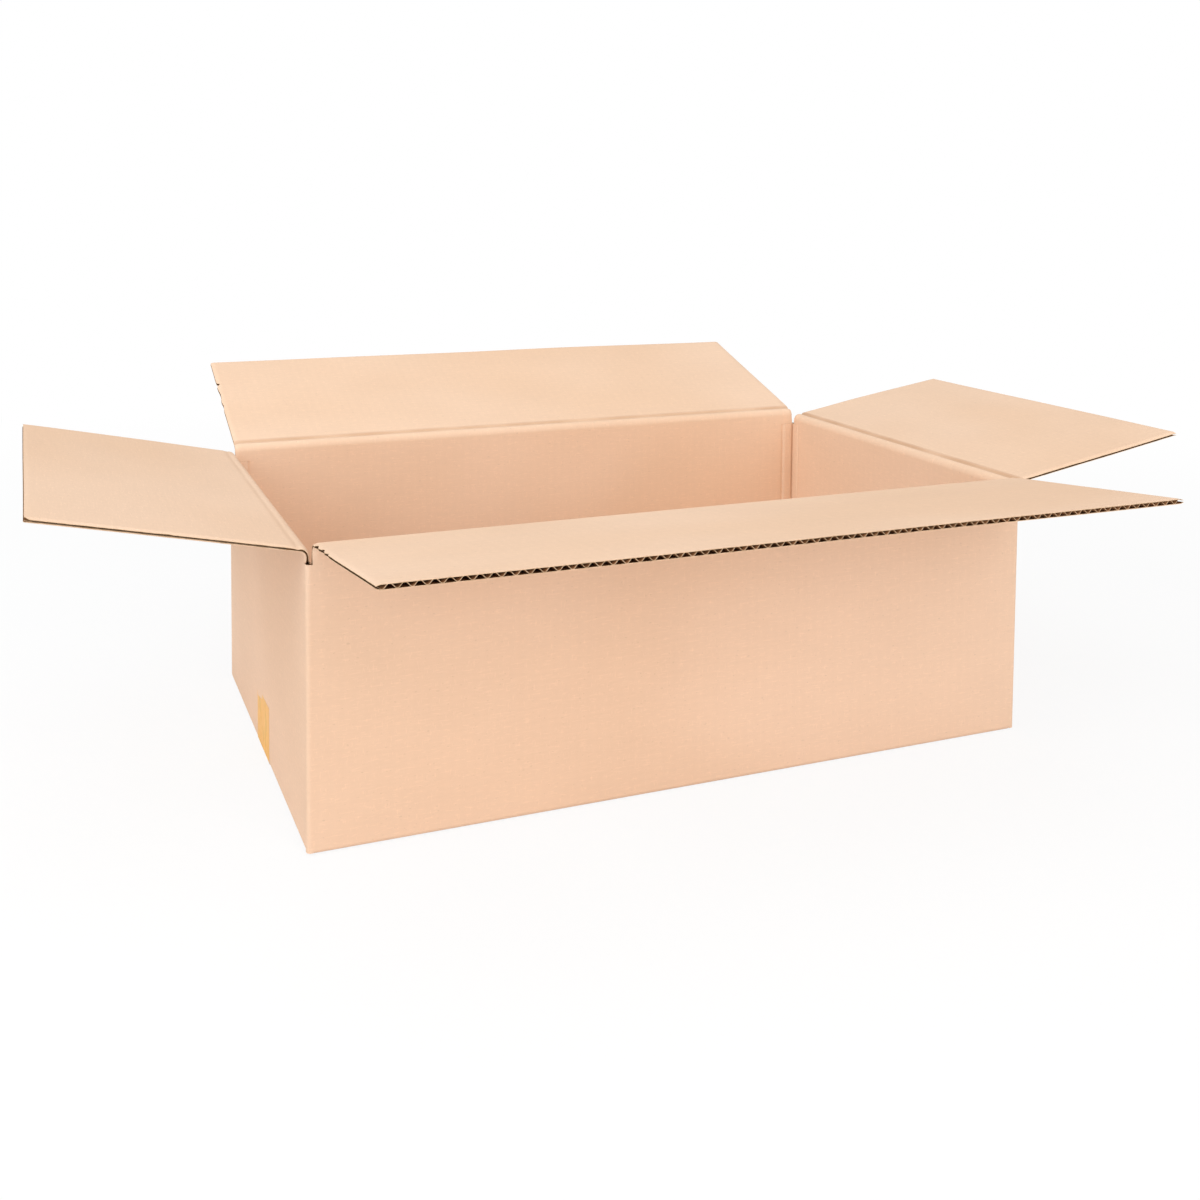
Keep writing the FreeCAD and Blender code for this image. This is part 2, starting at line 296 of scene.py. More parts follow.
class Sheets:
    """A mesh in the making: thin closed sheets that carry their place on the blank."""

    def __init__(self) -> None:
        """Start with no faces."""
        self.mesh = bmesh.new()
        self.map = self.mesh.loops.layers.uv.new(BLANK_MAP)
        self.crush = self.mesh.verts.layers.float.new(CRUSH_AND_SHADE)

    def face(self, corners: Sequence[bmesh.types.BMVert], places: Sequence[tuple[float, float]],
             material: int) -> None:
        """Add one face with its places on the blank.

        Args:
            corners: The face's vertices in order.
            places: Each corner's place on the blank.
            material: The material's index.
        """
        face = self.mesh.faces.new(corners)
        face.material_index = material
        face.smooth = True
        for loop, place in zip(face.loops, places):
            loop[self.map].uv = place

    def rings(self, loops: Sequence[Sequence[Vector]], places: Sequence[Sequence[tuple[float, float]]],
              materials: Sequence[int]) -> None:
        """Join closed loops of equal length, one after the other and the last to the first.

        Args:
            loops: The loops' points.
            places: Each point's place on the blank.
            materials: The material's index from each loop to the next.
        """
        made = [[self.mesh.verts.new(point) for point in loop] for loop in loops]
        size = len(loops[0])
        for row in range(len(loops)):
            after = (row + 1) % len(loops)
            for index in range(size):
                follower = (index + 1) % size
                wraps = index == size - 1 and places[row][0] != places[row][-1]
                beside = index if wraps else follower
                self.face([made[row][index], made[row][follower],
                           made[after][follower], made[after][index]],
                          [places[row][index], places[row][beside],
                           places[after][beside], places[after][index]], materials[row])

    def slab(self, stretch: Stretch, low: Depth, high: Depth, skins: tuple[int, int, int] = (0, 0, 0),
             crush: Depth = flat) -> None:
        """Add a closed sheet between two depths.

        Args:
            stretch: Its points in the box and on the blank.
            low: The outer depth at a place across and a run.
            high: The inner depth there.
            skins: The materials of the outer face, the inner face and the cut edges.
            crush: How much the board is squashed there, which darkens it, as wear and as painted shade in a score
                groove.
        """
        grids = []
        for depth, is_inner in ((low, False), (high, True)):
            grid = []
            for run in stretch.rows:
                line = []
                for across in stretch.columns(run):
                    vertex = self.mesh.verts.new(stretch.place(across, run, depth(across, run)))
                    vertex[self.crush] = crush(across, run)
                    line.append((vertex, stretch.spot(across, run, is_inner)))
                grid.append(line)
            grids.append(grid)
        outer, inner = grids
        rows, columns = len(outer) - 1, len(outer[0]) - 1
        for j in range(rows):
            for i in range(columns):
                self._quad([outer[j][i], outer[j][i + 1],
                            outer[j + 1][i + 1], outer[j + 1][i]], skins[0])
                self._quad([inner[j][i], inner[j + 1][i],
                            inner[j + 1][i + 1], inner[j][i + 1]], skins[1])
        for j, turned in ((0, False), (rows, True)):
            for i in range(columns):
                quad = [outer[j][i], inner[j][i], inner[j][i + 1], outer[j][i + 1]]
                self._quad(quad[::-1] if turned else quad, skins[2])
        for i, turned in ((0, True), (columns, False)):
            for j in range(rows):
                quad = [outer[j][i], inner[j][i], inner[j + 1][i], outer[j + 1][i]]
                self._quad(quad[::-1] if turned else quad, skins[2])

    def liners(self, stretch: Stretch, lift: Depth = flat, groove: Depth = flat, pinch: Depth = flat,
               crush: Depth = flat) -> None:
        """Add the two liners of a stretch of board.

        Args:
            stretch: Its points in the box and on the blank.
            lift: How far the board leaves its plane.
            groove: How far the inner liner is pressed in.
            pinch: How far the knife pressed each liner towards the other.
            crush: How much the inner liner is squashed, which darkens it, as wear and as painted shade in the score
                groove.
        """

        def low(across: float, run: float) -> float:
            """The outer liner's outer face."""
            return lift(across, run) + pinch(across, run)

        def high(across: float, run: float) -> float:
            """The inner liner's inner face."""
            return BOARD.thickness + lift(across, run) - groove(across, run) - pinch(across, run)

        self.slab(stretch, low, lambda a, r: low(a, r) + BOARD.liner, OUTER_LINER)
        self.slab(stretch, lambda a, r: high(a, r) - BOARD.liner, high, INNER_LINER, crush)

    def _quad(self, corners: Sequence[tuple[bmesh.types.BMVert, tuple[float, float]]],
              material: int) -> None:
        """Add a face from pairs of vertex and place."""
        self.face([corner[0] for corner in corners], [corner[1] for corner in corners], material)

    def finish(self, name: str, materials: Iterable[bpy.types.Material]) -> bpy.types.Object:
        """Turn the sheets into an object at the origin.

        Args:
            name: The piece's name.
            materials: Its materials, in the order of their indices.

        Returns:
            The new object, linked to the scene.
        """
        bmesh.ops.recalc_face_normals(self.mesh, faces=self.mesh.faces[:])
        for edge in self.mesh.edges:
            if len(edge.link_faces) == 2 and edge.calc_face_angle(0.0) > SHARP_EDGE:
                edge.smooth = False
        data = bpy.data.meshes.new(name)
        self.mesh.to_mesh(data)
        self.mesh.free()
        for material in materials:
            data.materials.append(material)
        made = bpy.data.objects.new(name, data)
        bpy.context.scene.collection.objects.link(made)
        return made


@dataclass(frozen=True)
class FoldLine:
    """A top fold line: its wall below, its flap beyond, and the soft bend between them."""

    side: Side
    hinge: Vector
    along: Vector
    opening: float
    half: float
    blank_across: float

    @property
    def inward(self) -> Vector:
        """The direction into the box, square to the wall."""
        return Vector((0, 0, 1)).cross(self.along)

    @property
    def body(self) -> str:
        """The flap's body and node."""
        return f"flap_{self.side.value}"

    @property
    def tangent(self) -> float:
        """How far the bend reaches each side of the fold line, on the outer face."""
        return (BOARD.bend_radius - BOARD.thickness) * math.tan(self.opening / 2)

    def place(self, across: float, run: float, depth: float) -> Vector:
        """Put a point of the blank in the box, at the flap's rest angle.

        Args:
            across: Along the fold line, from its middle.
            run: From the fold line, negative on the wall.
            depth: From the outer face.

        Returns:
            The point in the frame.
        """
        reach = self.tangent
        if run <= -reach:
            inwards, up = depth, run
        elif run >= reach:
            inwards = -run * math.sin(self.opening) + depth * math.cos(self.opening)
            up = run * math.cos(self.opening) + depth * math.sin(self.opening)
        else:
            turn = self.opening * (run + reach) / (2 * reach)
            radius = BOARD.bend_radius - BOARD.thickness + depth
            inwards = BOARD.thickness - BOARD.bend_radius + radius * math.cos(turn)
            up = -reach + radius * math.sin(turn)
        return self.hinge + self.along * across + self.inward * inwards + Vector((0, 0, up))

    def spot(self, across: float, run: float, inner: bool) -> tuple[float, float]:
        """The place on the blank, moved aside for the inner face so that the two differ."""
        shift = INNER_SHIFT if inner else 0.0
        return (self.blank_across + across + shift, self.hinge.z + run)


@dataclass(frozen=True)
class Nick:
    """A nick in a flap's side edge; its width is half of the real one."""

    side: int
    run: float
    depth: float
    width: float


@dataclass(frozen=True)
class FlapWear:
    """How one flap differs from a flat, square cut.

    The seed tells its noise from the others'. Warp is how far it bows, towards its inner face or, if
    negative, its outer one. Trim is how much narrower than the blank it is cut, at each side.
    """

    seed: float
    warp: float = 0.0
    nicks: tuple[Nick, ...] = ()
    trim: float = 0.0

    ragged: float = 0.12 * MM
    ragged_waves: float = 420.0
    fuzz: float = 0.10 * MM
    fuzz_waves: float = 1500.0
    warp_ease: float = 60 * MM

    def edge(self, side: int, run: float) -> float:
        """How far a side edge is cut back at a run.

        Args:
            side: 1 or -1, for the edge where across is above or below 0.
            run: The run from the fold line.

        Returns:
            The distance.
        """
        back = self.trim + self.ragged * (1 + wander(run * self.ragged_waves, side * 3.0, self.seed))
        back += self.fuzz * wander(run * self.fuzz_waves, side * 7.0, self.seed + 4)
        for nick in self.nicks:
            if nick.side == side:
                back += nick.depth * bump(run - nick.run, nick.width)
        return back

    def lift(self, across: float, run: float) -> float:
        """How far a point leaves the flap's plane, towards its inner face."""
        ramp = smooth((run - BOARD.join_run) / self.warp_ease)
        return self.warp * ramp * (0.5 + 0.9 * wander(across * 6, run * 7, self.seed))


def sheet_columns(half: float, wear: FlapWear, inset: float = 0.0) -> Columns:
    """Places across a flap for a run, with its ragged side edges.

    Args:
        half: Half of the flap's width.
        wear: The flap's flaws.
        inset: How far the sheet stops short of the liners' edges.

    Returns:
        A function from a run to the places.
    """
    band = 6 * MM
    plain = stations(-half + inset, half - inset, 9 * MM, 1.2 * MM, band)

    def columns(run: float) -> list[float]:
        """The places across at this run.

        Args:
            run: The run from the fold line, or from the tab's corner.

        Returns:
            The places in order.
        """
        moved = []
        for across in plain:
            side = 1 if across > 0 else -1
            share = max(0.0, 1 - (half - inset - abs(across)) / band)
            moved.append(across - side * share * wear.edge(side, run))
        return moved

    return columns


class Field:
    """A socket that adds its Math nodes when it is used in an expression."""

    def __init__(self, wiring: Wiring, socket: bpy.types.NodeSocket) -> None:
        """Wrap a socket of a tree."""
        self.wiring = wiring
        self.socket = socket

    def _math(self, operation: str, first: Field | float, second: Field | float = 0.0) -> Field:
        """One Math node on fields or numbers."""
        return self.wiring.field("ShaderNodeMath", {"operation": operation}, {0: first, 1: second})

    def __add__(self, other: Field | float) -> Field:
        """Sum."""
        return self._math("ADD", self, other)

    __radd__ = __add__

    def __sub__(self, other: Field | float) -> Field:
        """Difference."""
        return self._math("SUBTRACT", self, other)

    def __rsub__(self, other: Field | float) -> Field:
        """Difference from a number."""
        return self._math("SUBTRACT", other, self)

    def __mul__(self, other: Field | float) -> Field:
        """Product."""
        return self._math("MULTIPLY", self, other)

    __rmul__ = __mul__

    def __truediv__(self, other: Field | float) -> Field:
        """Quotient."""
        return self._math("DIVIDE", self, other)

    def __pow__(self, other: Field | float) -> Field:
        """Power."""
        return self._math("POWER", self, other)

    def sine(self) -> Field:
        """Sine of an angle in radians."""
        return self._math("SINE", self)

    def larger(self, other: Field) -> Field:
        """The larger of two."""
        return self._math("MAXIMUM", self, other)

    def between(self, low: float, high: float) -> Field:
        """0 at low and 1 at high, eased and clamped."""
        return self.wiring.field("ShaderNodeMapRange", {"interpolation_type": "SMOOTHSTEP"}, {
            "Value": self, "From Min": low, "From Max": high})


class Wiring:
    """Adds nodes to one tree and links them."""

    def __init__(self, tree: bpy.types.NodeTree) -> None:
        """Empty the tree."""
        self.tree = tree
        tree.nodes.clear()

    def node(self, kind: str, settings: dict | None = None,
             sockets: dict | None = None) -> bpy.types.Node:
        """Add a node.

        Args:
            kind: The node's type.
            settings: Its properties, set first.
            sockets: Values, fields or sockets for its inputs.

        Returns:
            The node.
        """
        made = self.tree.nodes.new(kind)
        for name, value in (settings or {}).items():
            setattr(made, name, value)
        for name, value in (sockets or {}).items():
            source = value.socket if isinstance(value, Field) else value
            if isinstance(source, bpy.types.NodeSocket):
                self.tree.links.new(source, made.inputs[name])
            else:
                made.inputs[name].default_value = source
        return made

    def field(self, kind: str, settings: dict | None = None, sockets: dict | None = None,
              output: int | str = 0) -> Field:
        """Add a node and wrap one of its outputs."""
        return Field(self, self.node(kind, settings, sockets).outputs[output])


class Fluting:
    """The wavy medium between two liners, made by one Geometry Nodes tree."""

    STEPS = 10
    INPUTS = {"Width": 0.5, "Length": 0.15, "Pitch": BOARD.pitch, "Height": 2.7 * MM,
              "Thickness": BOARD.medium, "Columns": 100, "Rows": 12, "Unevenness": 0.15, "Seed": 7.0,
              "Finish": None, "Cut Finish": None}
    KINDS = {float: "NodeSocketFloat", int: "NodeSocketInt", type(None): "NodeSocketMaterial"}

    def __init__(self) -> None:
        """Build the tree with named inputs for its sizes."""
        tree = bpy.data.node_groups.new("Fluted medium", "GeometryNodeTree")
        tree.is_modifier = True
        self.wiring = Wiring(tree)
        self.keys: dict[str, str] = {}
        for name, default in self.INPUTS.items():
            kind = self.KINDS[type(default)]
            socket = tree.interface.new_socket(name, in_out="INPUT", socket_type=kind)
            if default is not None:
                socket.default_value = default
            self.keys[name] = socket.identifier
        tree.interface.new_socket("Geometry", in_out="OUTPUT", socket_type="NodeSocketGeometry")
        self._wire()

    def _wire(self) -> None:
        """A flat grid, bent into a rounded wave, thickened and closed."""
        node, add = self.wiring.node, self.wiring.field
        inputs = node("NodeGroupInput").outputs
        given = {name: Field(self.wiring, inputs[name]) for name in self.INPUTS}
        grid = add("GeometryNodeMeshGrid", None, {
            "Size X": given["Width"], "Size Y": given["Length"],
            "Vertices X": given["Columns"], "Vertices Y": given["Rows"]}, "Mesh")
        parts = node("ShaderNodeSeparateXYZ", None, {0: add("GeometryNodeInputPosition")}).outputs
        across, along = Field(self.wiring, parts["X"]), Field(self.wiring, parts["Y"])
        seeded = add("ShaderNodeCombineXYZ", None, {
            "X": across * 60.0, "Y": along * 3.0, "Z": given["Seed"]})
        rough = add("ShaderNodeTexNoise", {"noise_dimensions": "3D"}, {
            "Vector": seeded, "Scale": 1.0, "Detail": 0.0})
        uneven = (rough - 0.5) * given["Unevenness"]
        wave = (across / given["Pitch"] * math.tau + uneven * 4.0).sine()
        height = wave * (1.12 - wave ** 2.0 * 0.12) * (given["Height"] * 0.5)
        bent = add("GeometryNodeSetPosition", None, {
            "Geometry": grid, "Offset": add("ShaderNodeCombineXYZ", None, {"Z": height})})
        dressed = add("GeometryNodeSetMaterial", None, {"Geometry": bent, "Material": given["Finish"]})
        raised = node("GeometryNodeExtrudeMesh", {"mode": "FACES"}, {
            "Mesh": dressed, "Offset Scale": given["Thickness"], "Individual": False}).outputs
        edged = add("GeometryNodeSetMaterial", None, {
            "Geometry": raised["Mesh"], "Selection": raised["Side"], "Material": given["Cut Finish"]})
        turned = add("GeometryNodeFlipFaces", None, {"Mesh": dressed})
        joined = node("GeometryNodeJoinGeometry")
        for part in (edged, turned):
            self.wiring.tree.links.new(part.socket, joined.inputs[0])
        closed = add("GeometryNodeMergeByDistance", None, {
            "Geometry": joined.outputs[0], "Distance": 0.01 * MM})
        rounded = add("GeometryNodeSetShadeSmooth", None, {"Geometry": closed})
        solid = add("GeometryNodeRealizeInstances", None, {"Geometry": rounded})
        node("NodeGroupOutput", None, {0: solid})

    def make(self, name: str, width: float, length: float, seed: float, finishes: Finishes,
             place: Callable[[Vector], Vector]) -> bpy.types.Object:
        """Make one panel's medium as a plain mesh.

        Args:
            name: The piece's name.
            width: Across the flutes.
            length: Along the flutes.
            seed: Tells this panel's unevenness from the others'.
            finishes: The board's materials.
            place: Puts a flat point in the box; its Z is from the board's middle.

        Returns:
            The new object, at the origin.
        """
        start = bpy.data.meshes.new(f"{name}_start")
        carrier = bpy.data.objects.new(name, start)
        bpy.context.scene.collection.objects.link(carrier)
        modifier = carrier.modifiers.new("Flutes", "NODES")
        modifier.node_group = self.wiring.tree
        # The medium's faces take the dark material, painted shade inside the flutes; its cut edges take the lighter
        # cut finish.
        values = {"Width": width, "Length": length, "Seed": seed, "Finish": finishes.cavity,
                  "Cut Finish": finishes.cut, "Columns": round(width / BOARD.pitch * self.STEPS) + 1,
                  "Height": BOARD.thickness - 2 * BOARD.liner - BOARD.medium}
        for key, value in values.items():
            modifier[self.keys[key]] = value
        graph = bpy.context.evaluated_depsgraph_get()
        data = bpy.data.meshes.new_from_object(carrier.evaluated_get(graph), depsgraph=graph)
        carrier.modifiers.remove(modifier)
        carrier.data = data
        bpy.data.meshes.remove(start)
        data.name = name
        for vertex in data.vertices:
            vertex.co = place(vertex.co)
        data.update()
        return carrier


class MaterialTree(Wiring):
    """A material and the nodes of its shader."""

    def __init__(self, name: str) -> None:
        """Start a material with only its output.

        Args:
            name: The material's name.
        """
        self.material = bpy.data.materials.new(name)
        self.material.use_nodes = True
        super().__init__(self.material.node_tree)
        self.output = self.node("ShaderNodeOutputMaterial")

    def place(self) -> Field:
        """The place on the piece."""
        return self.field("ShaderNodeTexCoord", None, None, "Object")

    def noise(self, vector: Field, scale: Triple, detail: float = 2.0, roughness: float = 0.5,
              shift: Triple = (0.0, 0.0, 0.0)) -> Field:
        """Noise in a vector that is scaled and shifted along each axis.

        Args:
            vector: Where the noise is read.
            scale: How fine it is along each axis.
            detail: How many finer layers it has.
            roughness: How strong the finer layers are.
            shift: How far it is moved along each axis.

        Returns:
            The noise, about 0.5 in the middle.
        """
        stretched = self.field("ShaderNodeMapping", {"vector_type": "POINT"}, {
            "Vector": vector, "Scale": scale, "Location": shift})
        return self.field("ShaderNodeTexNoise", {"noise_dimensions": "3D"}, {
            "Vector": stretched, "Scale": 1.0, "Detail": detail, "Roughness": roughness})

    def bumped(self, height: Field, strength: float, depth: float) -> Field:
        """A normal that follows a height."""
        return self.field("ShaderNodeBump", None, {
            "Strength": strength, "Distance": depth, "Height": height}, "Normal")

    def mixed(self, factor: Field | float, first: Field | tuple, second: Field | tuple) -> Field:
        """A blend of two colours."""
        mix = self.node("ShaderNodeMix", {"data_type": "RGBA"}, {0: factor, 6: first, 7: second})
        return Field(self, mix.outputs[2])

    def scaled(self, colour: Field, factor: Field) -> Field:
        """A colour made lighter or darker."""
        return self.field("ShaderNodeVectorMath", {"operation": "SCALE"}, {0: colour, "Scale": factor})

    def surface(self, **sockets: Field | float | tuple) -> None:
        """End with a Principled BSDF; an underscore in a name is a space."""
        named = {name.replace("_", " "): value for name, value in sockets.items()}
        self.end(self.node("ShaderNodeBsdfPrincipled", None, named))

    def end(self, shader: bpy.types.Node) -> None:
        """Link the last shader to the output."""
        self.tree.links.new(shader.outputs[0], self.output.inputs[0])


@dataclass(frozen=True)
class KraftFinish:
    """A kraft paper liner: flecked along the mill's direction, banded by the flutes beneath it, and darker where a
    score squashed it, as wear and as painted shade in the score groove.
    """

    name: str
    pale: Colour
    deep: Colour
    crushed: Colour
    roughness: float = 0.86

    def make(self) -> bpy.types.Material:
        """Build the material.

        Returns:
            The material.
        """
        tree = MaterialTree(self.name)
        blank = tree.field("ShaderNodeUVMap", {"uv_map": BLANK_MAP})
        across = tree.field("ShaderNodeSeparateXYZ", None, {0: blank})
        mottle = tree.noise(blank, (11, 16, 1), 4.0, 0.55) - 0.5
        cloud = tree.noise(blank, (3.2, 4.5, 1), shift=(7, 3, 0))
        streak = tree.noise(blank, (38, 420, 1), 3.0, 0.6) - 0.5
        level = tree.noise(blank, (150, 950, 1), 1.0, shift=(3, 9, 0)).between(0.60, 0.68)
        upright = tree.noise(blank, (900, 190, 1), 1.0, shift=(13, 5, 0)).between(0.63, 0.71)
        fleck = level + upright
        shive = tree.noise(blank, (330, 640, 1), 1.0, shift=(31, 17, 0)).between(0.69, 0.76)
        pulp = tree.noise(blank, (1500, 2100, 1), 2.0, 0.6) - 0.5
        flute = (across * (math.tau / BOARD.pitch)).sine()
        crush = tree.field("ShaderNodeAttribute", {"attribute_name": CRUSH_AND_SHADE}, None, "Fac")

        colour = tree.mixed(cloud.between(0.34, 0.66), self.deep, self.pale)
        light = (1.0 + mottle * 0.08 + streak * 0.07 + pulp * 0.05 + flute * 0.004 + fleck * 0.05
                 - shive * 0.10)
        colour = tree.scaled(colour, light)
        # Darker where the score squashed the liner: wear, and painted shade in the score groove.
        colour = tree.mixed(crush.between(0.0, 1.0), colour, self.crushed)
        height = (flute * 0.22 + mottle * 1.2 + streak * 0.35 + pulp * 0.45 + fleck * 0.2
                  - shive * 0.3)
        normal = tree.bumped(height, 0.55, 0.09 * MM)
        rough = self.roughness + mottle * 0.12 - fleck * 0.05
        tree.surface(Base_Color=colour, Roughness=rough, Specular_IOR_Level=0.28, Normal=normal)
        return tree.material


@dataclass(frozen=True)
class FluteFinish:
    """Rough brown paper, for cut edges, and in much darker tones for the medium between the liners, where the darkness
    is painted shade inside the flutes.
    """

    name: str
    colour: Colour
    dark: Colour

    def make(self) -> bpy.types.Material:
        """Build the material.

        Returns:
            The material.
        """
        tree = MaterialTree(self.name)
        place = tree.place()
        cloud = tree.noise(place, (160, 160, 160), 3.0)
        pulp = tree.noise(place, (1800, 1800, 1800))
        colour = tree.mixed(cloud.between(0.35, 0.65), self.dark, self.colour)
        colour = tree.scaled(colour, 1.0 + (pulp - 0.5) * 0.2)
        normal = tree.bumped(pulp, 0.5, 0.05 * MM)
        tree.surface(Base_Color=colour, Roughness=0.92, Specular_IOR_Level=0.2, Normal=normal)
        return tree.material


@dataclass(frozen=True)
class TapeFinish:
    """Clear amber packing tape, with the small bubbles and creases of a hand-laid strip."""

    name: str = "amber_tape"
    colour: Colour = (0.98, 0.50, 0.07, 1.0)
    bubbled: Colour = (0.96, 0.57, 0.16, 1.0)

    def make(self) -> bpy.types.Material:
        """Build the material.

        Returns:
            The material.
        """
        tree = MaterialTree(self.name)
        place = tree.place()
        patch = tree.noise(place, (38, 60, 38), 3.0, 0.6)
        crease = tree.noise(place, (14, 240, 14))
        bubbles = patch.between(0.52, 0.66)
        colour = tree.mixed(bubbles, self.colour, self.bubbled)
        normal = tree.bumped(patch * 1.4 + crease, 0.35, 0.12 * MM)
        tree.surface(Base_Color=colour, Roughness=0.34 + bubbles * 0.2, Alpha=0.86 - bubbles * 0.1,
                     Coat_Weight=0.12, Coat_Roughness=0.12, Normal=normal)
        return tree.material


@dataclass
class Finishes:
    """Every finish of the box, made once."""

    outside: bpy.types.Material = field(init=False)
    inside: bpy.types.Material = field(init=False)
    cut: bpy.types.Material = field(init=False)
    cavity: bpy.types.Material = field(init=False)
    tape: bpy.types.Material = field(init=False)

    def __post_init__(self) -> None:
        """Build the materials."""
        # The score's darker kraft: squashed liner, and painted shade in the score groove.
        crushed = (0.58, 0.36, 0.225, 1)
        self.outside = KraftFinish("kraft_outside", (0.765, 0.535, 0.385, 1), (0.72, 0.49, 0.34, 1),
                                   crushed).make()
        self.inside = KraftFinish("kraft_inside", (0.82, 0.585, 0.42, 1), (0.785, 0.54, 0.37, 1),
                                  crushed).make()
        self.cut = FluteFinish("cut_edge", (0.70, 0.48, 0.31, 1), (0.52, 0.34, 0.20, 1)).make()
        # Brown medium in much darker tones: painted shade inside the flutes, on the medium, the liners' hidden faces
        # and the core sheets.
        self.cavity = FluteFinish("fluting_medium", (0.30, 0.135, 0.055, 1),
                                  (0.18, 0.08, 0.032, 1)).make()
        self.tape = TapeFinish().make()

    @property
    def board(self) -> tuple[bpy.types.Material, ...]:
        """The finishes of a board, in the order of their indices."""
        return (self.outside, self.inside, self.cut, self.cavity)


@dataclass(frozen=True)
class TopFlap:
    """One top flap: two liners, the flutes between them, and the soft fold to its wall.

    Score is how strongly its score line is pressed in, and second_groove the depth of a fainter one.
    """

    fold: FoldLine
    wear: FlapWear
    score: float
    second_groove: float = 0.0

    groove_depth: float = 1.4 * MM
    groove_width: float = 3.4 * MM
    groove_run: float = 4.6 * MM
    # The darker band along the score: worn, squashed liner, and painted shade in the groove.
    rubbed_run: float = 5.8 * MM
    rubbed_width: float = 4.6 * MM
    second_run: float = 9.2 * MM
    second_width: float = 1.6 * MM
    side_pinch: float = 1.0 * MM
    free_pinch: float = 0.28 * MM
    pinch_band: float = 3.2 * MM
    pinch_onset: float = 7 * MM
    drift: float = 0.25 * MM
    # How strongly the score darkens the liner, for wear and for painted shade in the groove.
    rub: float = 0.9
    blend_reach: float = 5.0 * MM
    bend_steps: int = 14
    lead_steps: int = 4
    tail_step: float = 0.5 * MM
    flute_short: float = 0.5 * MM
    flute_start: float = 0.2 * MM

    def pinch(self, across: float, run: float) -> float:
        """How far the cutting knife squeezed the board's edges, from where the slot starts.

        Args:
            across: The place across the board.
            run: The run from the fold line.

        Returns:
            The distance, for each liner.
        """
        side = 1 - smooth((self.fold.half - self.wear.trim - abs(across)) / self.pinch_band)
        free = 1 - smooth((BOARD.reach - run) / self.pinch_band)
        onset = smooth((run + BOARD.top_slot) / self.pinch_onset)
        return max(self.side_pinch * side * onset, self.free_pinch * free)

    def groove(self, across: float, run: float) -> float:
        """How deep the score presses the inner liner in.

        Args:
            across: The place across the board.
            run: The run from the fold line.

        Returns:
            The depth.
        """
        drift = self.drift * wander(across * 18, 0.0, self.wear.seed + 9)
        pressed = bump(run - self.groove_run - drift, self.groove_width)
        depth = self.score * self.groove_depth * pressed
        return depth + self.second_groove * bump(run - self.second_run - drift, self.second_width)

    def crush(self, across: float, run: float) -> float:
        """How much the score darkens the liner, for wear and as painted shade in the score groove.

        Args:
            across: The place across the board.
            run: The run from the fold line.

        Returns:
            0 where it is whole and unshaded, about 1 where it is darkest.
        """
        crush_and_shade_band = self.score * bump(run - self.rubbed_run, self.rubbed_width)
        second = bump(run - self.second_run, self.second_width)
        crush_and_shade_band += self.second_groove / self.groove_depth * second
        return self.rub * crush_and_shade_band * (0.8 + 0.4 * wander(across * 30, run * 40, 5.0))

    def make_crease(self, finishes: Finishes, floor: float) -> bpy.types.Object:
        """The bend between wall and flap, which turns smoothly as the flap is folded.

        Args:
            finishes: The board's materials.
            floor: The height at which the wall's own mesh ends.

        Returns:
            The piece.
        """
        fold = self.fold
        start = floor - fold.hinge.z
        tangent = fold.tangent
        steps, lead_steps = self.bend_steps, self.lead_steps
        bend = [-tangent + 2 * tangent * i / steps for i in range(steps + 1)]
        lead = [start + (-tangent - start) * i / lead_steps for i in range(lead_steps)]
        tail = stations(tangent, BOARD.join_run, *[self.tail_step] * 3)[1:]
        rows = lead + bend + tail
        sheets = Sheets()
        sheets.liners(Stretch(fold.place, rows, sheet_columns(fold.half, self.wear), fold.spot),
                      flat, self.groove, self.pinch, self.crush)
        # A closed core sheet in the dark material stands for the flutes within the bend, as painted shade between the
        # liners.
        core = sheet_columns(fold.half, self.wear, BOARD.core_inset)
        sheets.slab(Stretch(fold.place, rows, core, fold.spot), lambda a, r: BOARD.core_skin,
                    lambda a, r: BOARD.thickness - BOARD.core_skin - self.groove(a, r), CORE)
        piece = sheets.finish(f"crease_{fold.side.value}", finishes.board)
        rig.slot(piece, KRAFT_SLOT)
        reach = self.blend_reach
        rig.blend(piece, BODY, fold.body,
                 start=fold.place(0.0, -reach, 0.0), end=fold.place(0.0, reach, 0.0))
        return piece

    def make_liners(self, finishes: Finishes) -> bpy.types.Object:
        """The flap's two liners, from the end of the bend to the free edge.

        Args:
            finishes: The box's materials.

        Returns:
            The piece.
        """
        fold = self.fold
        rows = stations(BOARD.join_run, BOARD.reach, 3.2 * MM, 1.0 * MM, 4 * MM)
        sheets = Sheets()
        sheets.liners(Stretch(fold.place, rows, sheet_columns(fold.half, self.wear), fold.spot),
                      self.wear.lift, flat, self.pinch)
        piece = sheets.finish(f"{fold.body}_liners", finishes.board)
        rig.slot(piece, KRAFT_SLOT)
        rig.ride(piece, fold.body)
        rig.replaces(piece, fold.body)
        return piece

    def make_fluting(self, finishes: Finishes, fluting: Fluting) -> bpy.types.Object:
        """The flap's wavy medium, open at the free edge.

        Args:
            finishes: The box's materials.
            fluting: Makes the wavy medium.

        Returns:
            The piece.
        """
        fold = self.fold
        length = BOARD.reach - BOARD.join_run - self.flute_short
        middle = BOARD.join_run + length / 2 + self.flute_start

        def place(point: Vector) -> Vector:
            """From the flat wave to the flap."""
            across, run = point.x, point.y + middle
            return fold.place(across, run, BOARD.thickness / 2 + point.z + self.wear.lift(across, run))

        piece = fluting.make(f"{fold.body}_fluting", 2 * (fold.half - BOARD.core_inset), length,
                             self.wear.seed, finishes, place)
        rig.slot(piece, KRAFT_SLOT)
        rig.ride(piece, fold.body)
        return piece

